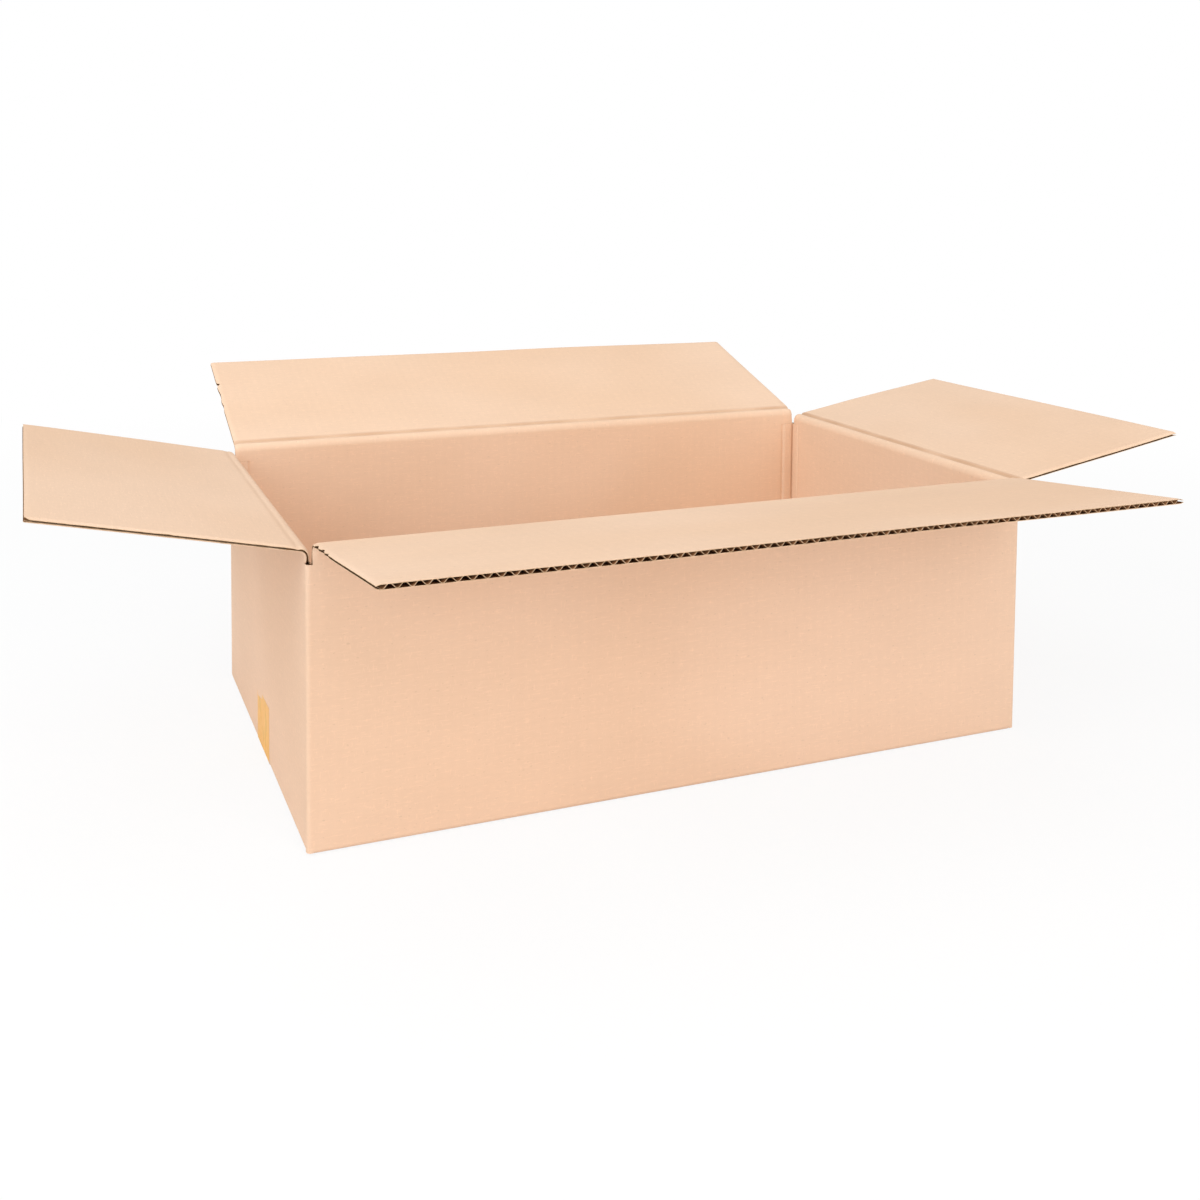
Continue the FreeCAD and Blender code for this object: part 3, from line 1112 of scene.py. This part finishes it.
    def build(self, finishes: Finishes, fluting: Fluting, floor: float) -> None:
        """Make every piece of the flap.

        Args:
            finishes: The box's materials.
            fluting: Makes the wavy medium.
            floor: The height at which the wall's own mesh ends.
        """
        for piece in (self.make_crease(finishes, floor), self.make_liners(finishes),
                      self.make_fluting(finishes, fluting)):
            LOG.info("%s: %d faces", piece.name, len(piece.data.polygons))


@dataclass(frozen=True)
class Station:
    """One place around the walls in plan: its two points, its place on the blank and how it differs.

    Free is how far the wall may bow there, and drop how far it reaches below the walls' foot.
    """

    outer: Vector
    inner: Vector
    inward: Vector
    across: float
    free: float
    drop: float = 0.0


@dataclass
class Walls:
    """The four walls as one tube, with three folded corners and the glued one.

    Half is how long each wall is from its middle, and top the height of the top slots.
    """

    folds: dict[Side, FoldLine]
    half: dict[Side, float] = field(init=False)
    top: float = field(init=False)
    foot: float = 3.6 * MM
    seam_gap: float = 3.0 * MM
    seam_radius: float = 2.5 * MM
    rim_recess: float = 2.0 * MM
    relief_reach: float = 13.0 * MM
    recess: float = 1.1 * MM
    sharpness: float = 0.2
    corner_drop: float = 2.2 * MM
    bow: float = 0.45 * MM
    bow_ease: float = 60 * MM
    calm: float = 40 * MM
    seed: float = 21.0
    corner_steps: int = 10
    seam_steps: int = 6
    seam_depth: float = 0.9 * MM
    seam_clear: float = 1.6 * MM
    seam_inset: float = 0.8 * MM
    seam_slide: float = 0.06 * MM
    swell: float = 0.55 * MM
    swell_start: float = 0.6 * MM
    swell_end: float = 10.2 * MM
    swell_ease: float = 1.6 * MM
    dent: float = 0.75 * MM
    dent_at: float = 10.9 * MM
    dent_width: float = 1.5 * MM
    short_share: float = 0.45
    tab_width: float = 35 * MM
    tab_thickness: float = 2.6 * MM
    tab_taper: float = 9 * MM
    tab_inset: float = 6 * MM
    tab_press: float = 0.35 * MM
    tab_press_band: float = 6 * MM
    tab_wrinkle: float = 0.12 * MM

    def __post_init__(self) -> None:
        """Work out how long and how high each wall is."""
        long, short = self.folds[Side.RIGHT].hinge.x, self.folds[Side.BACK].hinge.y
        self.half = {side: long if side.is_long else short for side in Side}
        self.top = self.folds[Side.FRONT].hinge.z - BOARD.top_slot

    def at(self, side: Side, across: float, inwards: float) -> Vector:
        """A point in plan, from a place across a wall and a depth.

        Args:
            side: The wall.
            across: The place across the wall, from its middle.
            inwards: The depth from the wall's outer face.

        Returns:
            The point, at height 0.
        """
        fold = self.folds[side]
        point = fold.hinge + fold.along * across + fold.inward * inwards
        return Vector((point.x, point.y, 0.0))

    def relief(self, side: Side, away: float) -> float:
        """How far the inner liner swells beside a corner, where the folded board is squeezed.

        Args:
            side: The wall.
            away: The distance from the corner.

        Returns:
            The distance, negative in the dent beyond the swelling.
        """
        share = 1.0 if side.is_long else self.short_share
        swell = (smooth((away - self.swell_start) / self.swell_ease)
                 * smooth((self.swell_end - away) / self.swell_ease))
        return share * (self.swell * swell - self.dent * bump(away - self.dent_at, self.dent_width))

    def wall(self, side: Side, start: float, end: float) -> list[Station]:
        """The stations along one wall.

        Args:
            side: The wall.
            start: Where the stations start, from the wall's middle.
            end: Where they end.

        Returns:
            The stations in order.
        """
        half = self.half[side]
        made = []
        for across in stations(start, end, 16 * MM, 0.9 * MM, self.relief_reach):
            away = half - BOARD.thickness - abs(across)
            inner = self.at(side, across, BOARD.thickness + self.relief(side, away))
            free = smooth((away - self.relief_reach) / self.bow_ease)
            made.append(Station(self.at(side, across, 0.0), inner, self.folds[side].inward,
                                self.folds[side].blank_across + across, free))
        return made

    def corner(self, side: Side) -> list[Station]:
        """The stations around a folded corner, creased on its inner side.

        Args:
            side: The wall.

        Returns:
            The stations in order.
        """
        radius, half, fold = BOARD.corner_radius, self.half[side], self.folds[side]
        centre = self.at(side, half - radius, radius)
        made = []
        steps = self.corner_steps
        for step in range(1, steps):
            turn = QUARTER * step / steps
            outwards = fold.along * math.sin(turn) - fold.inward * math.cos(turn)
            crease = self.recess * bump(turn - QUARTER / 2, QUARTER / 2)
            bulge = 1 + self.sharpness * math.sin(2 * turn) ** 2
            made.append(Station(
                centre + outwards * radius * bulge,
                centre + outwards * (radius - BOARD.thickness + crease), -outwards,
                fold.blank_across + half + radius * (2 * step / steps - 1), 0.0, self.corner_drop))
        return made

    def seam(self) -> list[Station]:
        """The stations of the glued corner, where the back wall folds on to the tab.

        Returns:
            The stations in order.
        """
        back, left = Side.BACK, Side.LEFT
        half, thick, radius = self.half[back], BOARD.thickness, self.seam_radius
        centre = self.at(back, half - thick - radius, radius)
        fold = self.folds[back]
        outer = []
        for step in range(1, self.seam_steps + 1):
            turn = QUARTER * step / self.seam_steps
            outer.append(centre + (fold.along * math.sin(turn) - fold.inward * math.cos(turn)) * radius)
        gap, skin = self.seam_gap, BOARD.liner
        deep = gap + self.seam_depth
        for depth, back_by in ((thick, gap), (thick - skin, gap), (thick - skin, deep),
                               (skin, deep), (skin, gap), (0.0, gap)):
            outer.append(self.at(left, -self.half[left] + back_by, depth))
        made = []
        for index, point in enumerate(outer):
            slid = self.seam_slide * (index + 1)
            folded = index < self.seam_steps
            inner = self.at(back, half - thick - self.seam_inset + slid, thick) if folded else (
                self.at(left, -self.half[left] + thick + slid, thick))
            at = fold.blank_across + half - thick if folded else (
                self.folds[left].blank_across - self.half[left] + gap)
            made.append(Station(point, inner, fold.inward, at, 0.0))
        return made

    def plan(self) -> list[Station]:
        """Every station, counter-clockwise from the front wall's left end.

        Returns:
            The stations in order.
        """
        radius = BOARD.corner_radius
        long, short = self.half[Side.FRONT], self.half[Side.LEFT]
        seam_end = long - BOARD.thickness - self.seam_radius
        seam_start = self.seam_gap + self.seam_clear - short
        made = self.wall(Side.FRONT, radius - long, long - radius) + self.corner(Side.FRONT)
        made += self.wall(Side.RIGHT, radius - short, short - radius) + self.corner(Side.RIGHT)
        made += self.wall(Side.BACK, radius - long, seam_end) + self.seam()
        made += self.wall(Side.LEFT, seam_start, short - radius)
        return made + self.corner(Side.LEFT)

    def loop(self, plan: Sequence[Station], share: float, height: float,
             inner: bool) -> tuple[list[Vector], list[tuple[float, float]]]:
        """One loop around the walls.

        Args:
            plan: The stations.
            share: How far from the outer point to the inner one.
            height: The loop's height.
            inner: Whether it is on the inner side of the blank's map.

        Returns:
            Its points and their places on the blank.
        """
        points, spots = [], []
        calm = smooth((height - self.foot) / self.calm) * smooth((self.top - height) / self.calm)
        for station in plan:
            low = station.drop if height == self.foot else 0.0
            point = station.outer.lerp(station.inner, share)
            bow = self.bow * wander(station.across * 5.5, height * 9, self.seed) * station.free * calm
            point = point + station.inward * bow
            points.append(Vector((point.x, point.y, height - low)))
            spots.append((station.across + (INNER_SHIFT if inner else 0.0), height - low))
        return points, spots

    def make_tube(self, finishes: Finishes) -> bpy.types.Object:
        """The walls from the foot to the top slots.

        Args:
            finishes: The box's materials.

        Returns:
            The piece.
        """
        plan = self.plan()
        levels = stations(self.foot, self.top, 16 * MM, 2 * MM, 4 * MM)
        skin, recess = BOARD.liner / BOARD.thickness, self.top - self.rim_recess
        steps = [(0.0, level, OUTSIDE, False) for level in levels[:-1]]
        # At the top edge the core is recessed between the liners; its faces are dark, painted shade.
        steps += [(0.0, self.top, CUT, False), (skin, self.top, PAINTED_CAVITY_SHADE, False),
                  (skin, recess, PAINTED_CAVITY_SHADE, False), (1 - skin, recess, PAINTED_CAVITY_SHADE, True),
                  (1 - skin, self.top, CUT, True)]
        steps += [(1.0, level, INSIDE, True) for level in reversed(levels[1:])]
        steps.append((1.0, self.foot, OUTSIDE, True))
        made = [self.loop(plan, share, height, inner) for share, height, _, inner in steps]
        sheets = Sheets()
        sheets.rings([points for points, _ in made], [spots for _, spots in made],
                     [material for _, _, material, _ in steps])
        piece = sheets.finish("walls", finishes.board)
        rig.slot(piece, KRAFT_SLOT)
        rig.ride(piece, BODY)
        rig.replaces(piece, BODY)
        return piece

    def make_tab(self, finishes: Finishes) -> bpy.types.Object:
        """The glue tab on the left wall's inner face, squeezed thinner by the glue.

        Args:
            finishes: The box's materials.

        Returns:
            The piece.
        """
        width = self.tab_width
        low = BOARD.tape_film + 2 * BOARD.thickness + BOARD.layer_gap + self.tab_inset
        high = self.folds[Side.LEFT].hinge.z - BOARD.thickness - self.tab_inset
        half = self.half[Side.LEFT]

        def columns(run: float) -> list[float]:
            """Heights across the tab at a distance from the corner.

            Args:
                run: The run from the fold line, or from the tab's corner.

            Returns:
                The places in order.
            """
            cut = self.tab_taper * run / width
            shares = stations(0.0, 1.0, 0.07, 0.01, 0.03)
            return [low + cut + (high - low - 2 * cut) * share for share in shares]

        def place(across: float, run: float, depth: float) -> Vector:
            """From the tab's own sizes to the left wall."""
            point = self.at(Side.LEFT, -half + BOARD.thickness + run, BOARD.thickness + depth)
            return Vector((point.x, point.y, across))

        def spot(across: float, run: float, inner: bool) -> tuple[float, float]:
            """The place on the blank, beyond the back wall."""
            end = self.folds[Side.BACK].blank_across + self.half[Side.BACK]
            return (end + run + INNER_SHIFT, across)

        def top(across: float, run: float) -> float:
            """The tab's face, pressed flat towards its free edge."""
            press = self.tab_press * smooth((run - width + self.tab_press_band) / self.tab_press_band)
            return self.tab_thickness - press + self.tab_wrinkle * wander(across * 30, run * 30, 3.0)

        sheets = Sheets()
        rows = stations(0.0, width, 3 * MM, 1.2 * MM, 3.6 * MM)
        sheets.slab(Stretch(place, rows, columns, spot), flat, top, INNER_LINER)
        piece = sheets.finish("glue_tab", finishes.board)
        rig.slot(piece, KRAFT_SLOT)
        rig.ride(piece, BODY)
        return piece


@dataclass
class FloorFlap:
    """One bottom flap with the rounded fold under its wall.

    Fold is the wall's top fold line, for its directions. Level is the height of the flap's lower face,
    knuckle that of the fold's lowest point, and reach goes from the wall's outer face to the free edge.
    """

    fold: FoldLine
    level: float
    knuckle: float
    reach: float
    radius: float = field(init=False)
    arc: float = field(init=False)
    end: float = field(init=False)
    core_end: float = 11.0 * MM
    knuckle_rise: float = 1.2 * MM
    bend_steps: int = 9

    def __post_init__(self) -> None:
        """Work out the fold's arc and the run of the free edge."""
        self.radius = Walls.foot - self.knuckle
        self.arc = self.radius * QUARTER
        self.end = self.reach - self.radius + self.arc

    def outer(self, run: float) -> tuple[float, float]:
        """The lower skin: how far in and how high, for a run from the wall's foot.

        Args:
            run: The run from the wall's foot.

        Returns:
            The distance in and the height.
        """
        if run < self.arc:
            turn = run / self.radius
            return (self.radius * (1 - math.cos(turn)),
                    self.knuckle + self.radius * (1 - math.sin(turn)))
        inwards = self.radius + run - self.arc
        rise = smooth((inwards - BOARD.thickness) / self.knuckle_rise)
        return inwards, self.knuckle + (self.level - self.knuckle) * rise

    def place(self, across: float, run: float, depth: float) -> Vector:
        """Put a point of the flap in the box.

        Args:
            across: The place across the board.
            run: The run from the wall's foot.
            depth: The depth from the outer face.

        Returns:
            The point in the frame.
        """
        share = depth / BOARD.thickness
        inwards, up = self.outer(run)
        above = max(inwards, BOARD.thickness - 0.1 * MM + run * 0.05)
        sideways = inwards + (above - inwards) * share
        height = up + (self.level + BOARD.thickness - up) * share
        point = self.fold.hinge + self.fold.along * across + self.fold.inward * sideways
        return Vector((point.x, point.y, height))

    def spot(self, across: float, run: float, inner: bool) -> tuple[float, float]:
        """The place on the blank, below the wall."""
        return (self.fold.blank_across + across + (INNER_SHIFT if inner else 0.0), -run)

    def build(self, finishes: Finishes, fluting: Fluting, seed: float) -> None:
        """Make the flap's liners, its fold and its flutes.

        Args:
            finishes: The box's materials.
            fluting: Makes the wavy medium.
            seed: Tells this flap's noise from the others'.
        """
        side, half = self.fold.side.value, self.fold.half
        wear = FlapWear(seed)
        steps = self.bend_steps
        bend = [0.0, self.arc * 0.02] + [self.arc * i / steps for i in range(1, steps + 1)]
        rise = [self.arc + 0.4 * MM * i for i in range(1, 9)]
        rows = bend + rise + stations(self.arc + 4 * MM, self.end, 6 * MM, 1 * MM, 3 * MM)
        sheets = Sheets()
        sheets.liners(Stretch(self.place, rows, sheet_columns(half, wear), self.spot))
        # Near the fold a closed core sheet in the dark material stands for the flutes, as painted shade between the
        # liners.
        core = sheet_columns(half, wear, BOARD.core_inset)
        sheets.slab(Stretch(self.place, [run for run in rows if run < self.core_end], core, self.spot),
                    lambda a, r: BOARD.core_skin, lambda a, r: BOARD.thickness - BOARD.core_skin, CORE)
        piece = sheets.finish(f"bottom_flap_{side}", finishes.board)
        length = self.end - self.core_end - 0.4 * MM
        middle = self.core_end + length / 2
        medium = fluting.make(
            f"bottom_flap_{side}_fluting", 2 * (half - BOARD.core_inset), length, seed, finishes,
            lambda point: self.place(point.x, point.y + middle, BOARD.thickness / 2 + point.z))
        for made in (piece, medium):
            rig.slot(made, KRAFT_SLOT)
            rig.ride(made, BODY)


@dataclass
class SeamTape:
    """The strip of tape over the bottom seam, turned up on both end walls.

    Its path runs up, round an arc, flat under the box and back up, length in all.
    """

    half: float
    up: float = field(init=False)
    arc: float = field(init=False)
    flat: float = field(init=False)
    length: float = field(init=False)
    width: float = 50 * MM
    rise: float = 42 * MM
    radius: float = 3.0 * MM
    tooth: float = 1.6 * MM
    tooth_depth: float = 0.7 * MM
    cut_band: float = 2 * MM
    loose: float = 0.12 * MM

    def __post_init__(self) -> None:
        """Measure the strip's path from one turned-up end to the other."""
        self.up = self.rise - self.radius
        self.arc = self.radius * QUARTER
        self.flat = 2 * (self.half - self.radius)
        self.length = 2 * (self.up + self.arc) + self.flat

    def path(self, run: float) -> tuple[Vector, Vector]:
        """The point on the strip's inner face and the direction out of it.

        Args:
            run: The run from the strip's left end.

        Returns:
            The point and the direction.
        """
        mirrored = run > self.length / 2
        along = self.length - run if mirrored else run
        way = -1.0 if mirrored else 1.0
        centre = Vector((-self.half + self.radius, 0.0, self.radius))
        if along < self.up:
            point, out = Vector((-self.half, 0.0, self.rise - along)), Vector((-1, 0, 0))
        elif along < self.up + self.arc:
            turn = (along - self.up) / self.radius
            out = Vector((-math.cos(turn), 0.0, -math.sin(turn)))
            point = centre + out * self.radius
        else:
            point = Vector((centre.x + along - self.up - self.arc, 0.0, 0.0))
            out = Vector((0, 0, -1))
        point = Vector((point.x * way, point.y, point.z))
        return point, Vector((out.x * way, out.y, out.z))

    def build(self, finishes: Finishes) -> None:
        """Make the strip with its torn, toothed ends.

        Args:
            finishes: The box's materials.
        """

        def tooth(across: float) -> float:
            """How far the cutter's teeth bite into the end here."""
            phase = across / self.tooth % 1.0
            return self.tooth_depth * abs(2 * phase - 1)

        def place(across: float, run: float, depth: float) -> Vector:
            """Put a point of the strip in the box.

            Args:
                across: The place across the strip.
                run: The run from the strip's left end.
                depth: The depth from the strip's inner face.

            Returns:
                The point in the frame.
            """
            point, out = self.path(run)
            end = min(run, self.length - run)
            point = point + Vector((0, across, 0)) + out * depth + Vector((0, 0, BOARD.tape_film))
            bite = max(0.0, 1 - end / self.cut_band) * tooth(across)
            lifted = self.loose * max(0.0, wander(across * 90, run * 60, 8.0)) * (end < self.up)
            return point - Vector((0, 0, bite)) + out * lifted

        bend = [self.up + self.arc * i / 7 for i in range(8)]
        cut = self.cut_band
        rising = [0.0, 0.7 * MM, cut] + [cut + (self.up - cut) * i / 10 for i in range(1, 10)]
        bottom = [self.up + self.arc + self.flat * i / 30 for i in range(1, 16)]
        first = rising + bend + bottom
        rows = first + [self.length - run for run in reversed(first[:-1])]
        count = round(self.width / self.tooth * 4)
        columns = [-self.width / 2 + self.width * i / count for i in range(count + 1)]
        sheets = Sheets()
        sheets.slab(Stretch(place, rows, lambda run: columns, lambda a, r, inner: (a, r)), flat,
                    lambda a, r: BOARD.tape_film * 0.95)
        piece = sheets.finish("seam_tape", [finishes.tape])
        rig.slot(piece, TAPE_SLOT)
        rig.ride(piece, BODY)
        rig.replaces(piece, "bottom_tape")


@dataclass
class Carton:
    frame: dict
    folds: dict[Side, FoldLine] = field(init=False)
    length: float = field(init=False)
    width: float = field(init=False)
    end_trim: float = 0.7 * MM
    end_knuckle: float = 0.9 * MM
    bottom_seed: float = 11.0

    def __post_init__(self) -> None:
        """Read the fold lines from the model."""
        hinges = {joint["child"]: joint for joint in self.frame["joints"]}
        length = 2 * abs(hinges["flap_right"]["pos_m"][0])
        width = 2 * abs(hinges["flap_back"]["pos_m"][1])
        blank = {Side.FRONT: length / 2, Side.RIGHT: length + width / 2,
                 Side.BACK: 1.5 * length + width, Side.LEFT: -width / 2}
        self.folds = {}
        for side in Side:
            joint = hinges[f"flap_{side.value}"]
            low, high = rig.box(f"flap_{side.value}")
            axis = 0 if side.is_long else 1
            self.folds[side] = FoldLine(
                side, Vector(joint["pos_m"]), Vector(joint["axis"]),
                math.radians(-joint["range_deg"][0] - 90.0), (high[axis] - low[axis]) / 2, blank[side])
        self.length = length
        self.width = width

    def flap(self, side: Side) -> TopFlap:
        """A top flap with the wear that the photograph shows.

        Args:
            side: The wall.

        Returns:
            The flap.
        """
        wear = {
            Side.FRONT: FlapWear(1.0, -0.9 * MM, (
                Nick(-1, 12 * MM, 1.3 * MM, 7 * MM), Nick(-1, 29 * MM, 1.7 * MM, 6 * MM),
                Nick(-1, 43 * MM, 1.1 * MM, 4 * MM))),
            Side.RIGHT: FlapWear(2.0, 0.8 * MM, (Nick(1, 40 * MM, 0.8 * MM, 5 * MM),), self.end_trim),
            Side.BACK: FlapWear(3.0, -1.0 * MM, (
                Nick(1, 117 * MM, 3.0 * MM, 3.5 * MM), Nick(1, 96 * MM, 0.9 * MM, 12 * MM),
                Nick(1, 74 * MM, 0.7 * MM, 8 * MM))),
            Side.LEFT: FlapWear(4.0, 0.9 * MM, (
                Nick(1, 83 * MM, 1.0 * MM, 2.5 * MM),
                Nick(1, 163 * MM, 3.0 * MM, 5 * MM)), self.end_trim),
        }[side]
        score, second = {Side.FRONT: (0.5, 0.0), Side.RIGHT: (1.1, 0.3 * MM),
                         Side.BACK: (0.85, 0.0), Side.LEFT: (0.3, 0.0)}[side]
        return TopFlap(self.folds[side], wear, score, second)

    def build(self, finishes: Finishes) -> None:
        """Make every piece.

        Args:
            finishes: The box's materials.
        """
        fluting = Fluting()
        walls = Walls(self.folds)
        walls.make_tube(finishes)
        walls.make_tab(finishes)
        for number, side in enumerate(Side):
            self.flap(side).build(finishes, fluting, walls.top)
            if side.is_long:
                reach = self.width / 2 - BOARD.meeting_gap / 2
                bottom = FloorFlap(self.folds[side], BOARD.tape_film, BOARD.tape_film, reach)
            else:
                level = BOARD.tape_film + BOARD.thickness + BOARD.layer_gap
                bottom = FloorFlap(self.folds[side], level, self.end_knuckle, BOARD.reach)
            bottom.build(finishes, fluting, self.bottom_seed + number)
        SeamTape(self.length / 2).build(finishes)


@dataclass(frozen=True)
class Studio:
    """A pale floor, a white surround, soft lamps and the photograph's viewpoint."""

    eye: Triple = (-0.4264, -0.9836, 0.4169)
    azimuth: float = 22.39
    pitch: float = 3.42
    roll: float = 0.455
    lens: float = 40.96
    shift: tuple[float, float] = (0.0133, -0.2815)
    ambient: float = 0.6
    floor_keep: float = 0.13
    floor_reach: float = 8.0
    floor_drop: float = 0.0002

    def make_floor(self) -> None:
        """A wide floor that looks white from the camera and still keeps a soft shadow."""
        tree = MaterialTree("pale_floor")
        away = tree.field("ShaderNodeVectorMath", {"operation": "LENGTH"}, {0: tree.place()}, "Value")
        seen = tree.field("ShaderNodeLightPath", None, None, "Is Camera Ray")
        keep = 1.0 - self.floor_keep * (1.0 - away.between(0.7, 1.6))
        paint = tree.node("ShaderNodeBsdfDiffuse", None, {"Color": (0.88, 0.88, 0.88, 1.0)})
        glow = tree.node("ShaderNodeEmission", None, {"Color": WHITE, "Strength": 1.0})
        tree.end(tree.node("ShaderNodeMixShader", None, {
            0: seen * keep, 1: paint.outputs[0], 2: glow.outputs[0]}))
        mesh = bpy.data.meshes.new("floor")
        reach = self.floor_reach
        corners = [(-reach, -reach, 0), (reach, -reach, 0), (reach, reach, 0), (-reach, reach, 0)]
        mesh.from_pydata(corners, [], [(0, 1, 2, 3)])
        mesh.materials.append(tree.material)
        floor = bpy.data.objects.new("floor", mesh)
        floor.location.z = -self.floor_drop
        bpy.context.scene.collection.objects.link(floor)
        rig.stage(floor)

    def make_world(self) -> None:
        """White to the camera and to reflections, dimmer as a source of light."""
        world = bpy.data.worlds.new("surround")
        bpy.context.scene.world = world
        world.use_nodes = True
        wiring = Wiring(world.node_tree)
        path = wiring.node("ShaderNodeLightPath").outputs
        seen, glossy, through = (
            Field(wiring, path[f"Is {name} Ray"]) for name in ("Camera", "Glossy", "Transmission"))
        soft, white = (wiring.node("ShaderNodeBackground", None, {"Color": WHITE, "Strength": strength})
                       for strength in (self.ambient, 1.0))
        mix = wiring.node("ShaderNodeMixShader", None, {
            0: seen.larger(glossy).larger(through), 1: soft.outputs[0], 2: white.outputs[0]})
        wiring.node("ShaderNodeOutputWorld", None, {0: mix.outputs[0]})

    def make_lamp(self, name: str, place: Triple, power: float, size: float,
                  colour: Triple = (1.0, 1.0, 1.0)) -> None:
        """An area lamp aimed at the middle of the box.

        Args:
            name: The lamp's name.
            place: Where it hangs.
            power: Its power in watts.
            size: Its diameter in metres.
            colour: Its tint.
        """
        lamp = bpy.data.lights.new(name, "AREA")
        lamp.shape = "DISK"
        lamp.size = size
        lamp.energy = power
        lamp.color = colour
        holder = bpy.data.objects.new(name, lamp)
        holder.location = place
        aim = Vector((0.0, 0.0, 0.12)) - holder.location
        holder.rotation_euler = aim.to_track_quat("-Z", "Y").to_euler()
        bpy.context.scene.collection.objects.link(holder)

    def make_camera(self) -> None:
        """The viewpoint fitted to the box's corners."""
        turn, dip, roll = (math.radians(value) for value in (self.azimuth, self.pitch, self.roll))
        ahead = Vector((math.sin(turn) * math.cos(dip), math.cos(turn) * math.cos(dip), -math.sin(dip)))
        right = Vector((math.cos(turn), -math.sin(turn), 0.0))
        up = right.cross(ahead)
        tilted_right = right * math.cos(roll) + up * math.sin(roll)
        tilted_up = up * math.cos(roll) - right * math.sin(roll)
        lens = bpy.data.cameras.new("photo_view")
        lens.sensor_fit = "HORIZONTAL"
        lens.sensor_width = 36.0
        lens.lens = self.lens
        lens.shift_x, lens.shift_y = self.shift
        lens.clip_end = 50.0
        camera = bpy.data.objects.new("photo_view", lens)
        turned = Matrix((tilted_right, tilted_up, -ahead)).transposed().to_4x4()
        camera.matrix_world = Matrix.Translation(self.eye) @ turned
        bpy.context.scene.collection.objects.link(camera)
        bpy.context.scene.camera = camera

    def build(self) -> None:
        """Set the stage."""
        self.make_floor()
        self.make_world()
        self.make_lamp("key", (0.2, -2.5, 1.1), 36.0, 2.4)
        self.make_lamp("fill", (-2.5, -0.5, 1.4), 38.0, 2.0, (0.86, 0.94, 1.0))
        self.make_lamp("top", (-0.3, -0.2, 2.6), 13.0, 2.4)
        self.make_camera()
        view = bpy.context.scene.view_settings
        view.view_transform = "Standard"


def main() -> None:
    """Load the model, dress it and set the stage."""
    logging.basicConfig(level=logging.INFO, format="%(name)s: %(message)s")
    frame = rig.load()
    modelled = [list(corner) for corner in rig.bounds()]
    carton = Carton(frame)
    carton.build(Finishes())
    Studio().build()
    dressed = [list(corner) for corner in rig.bounds()]
    with open(SIZE_FILE, "w", encoding="utf-8") as out:
        json.dump({"cad": modelled, "visual": dressed}, out)
    LOG.info("modelled %s, dressed %s", modelled, dressed)


if __name__ == "__main__":
    main()
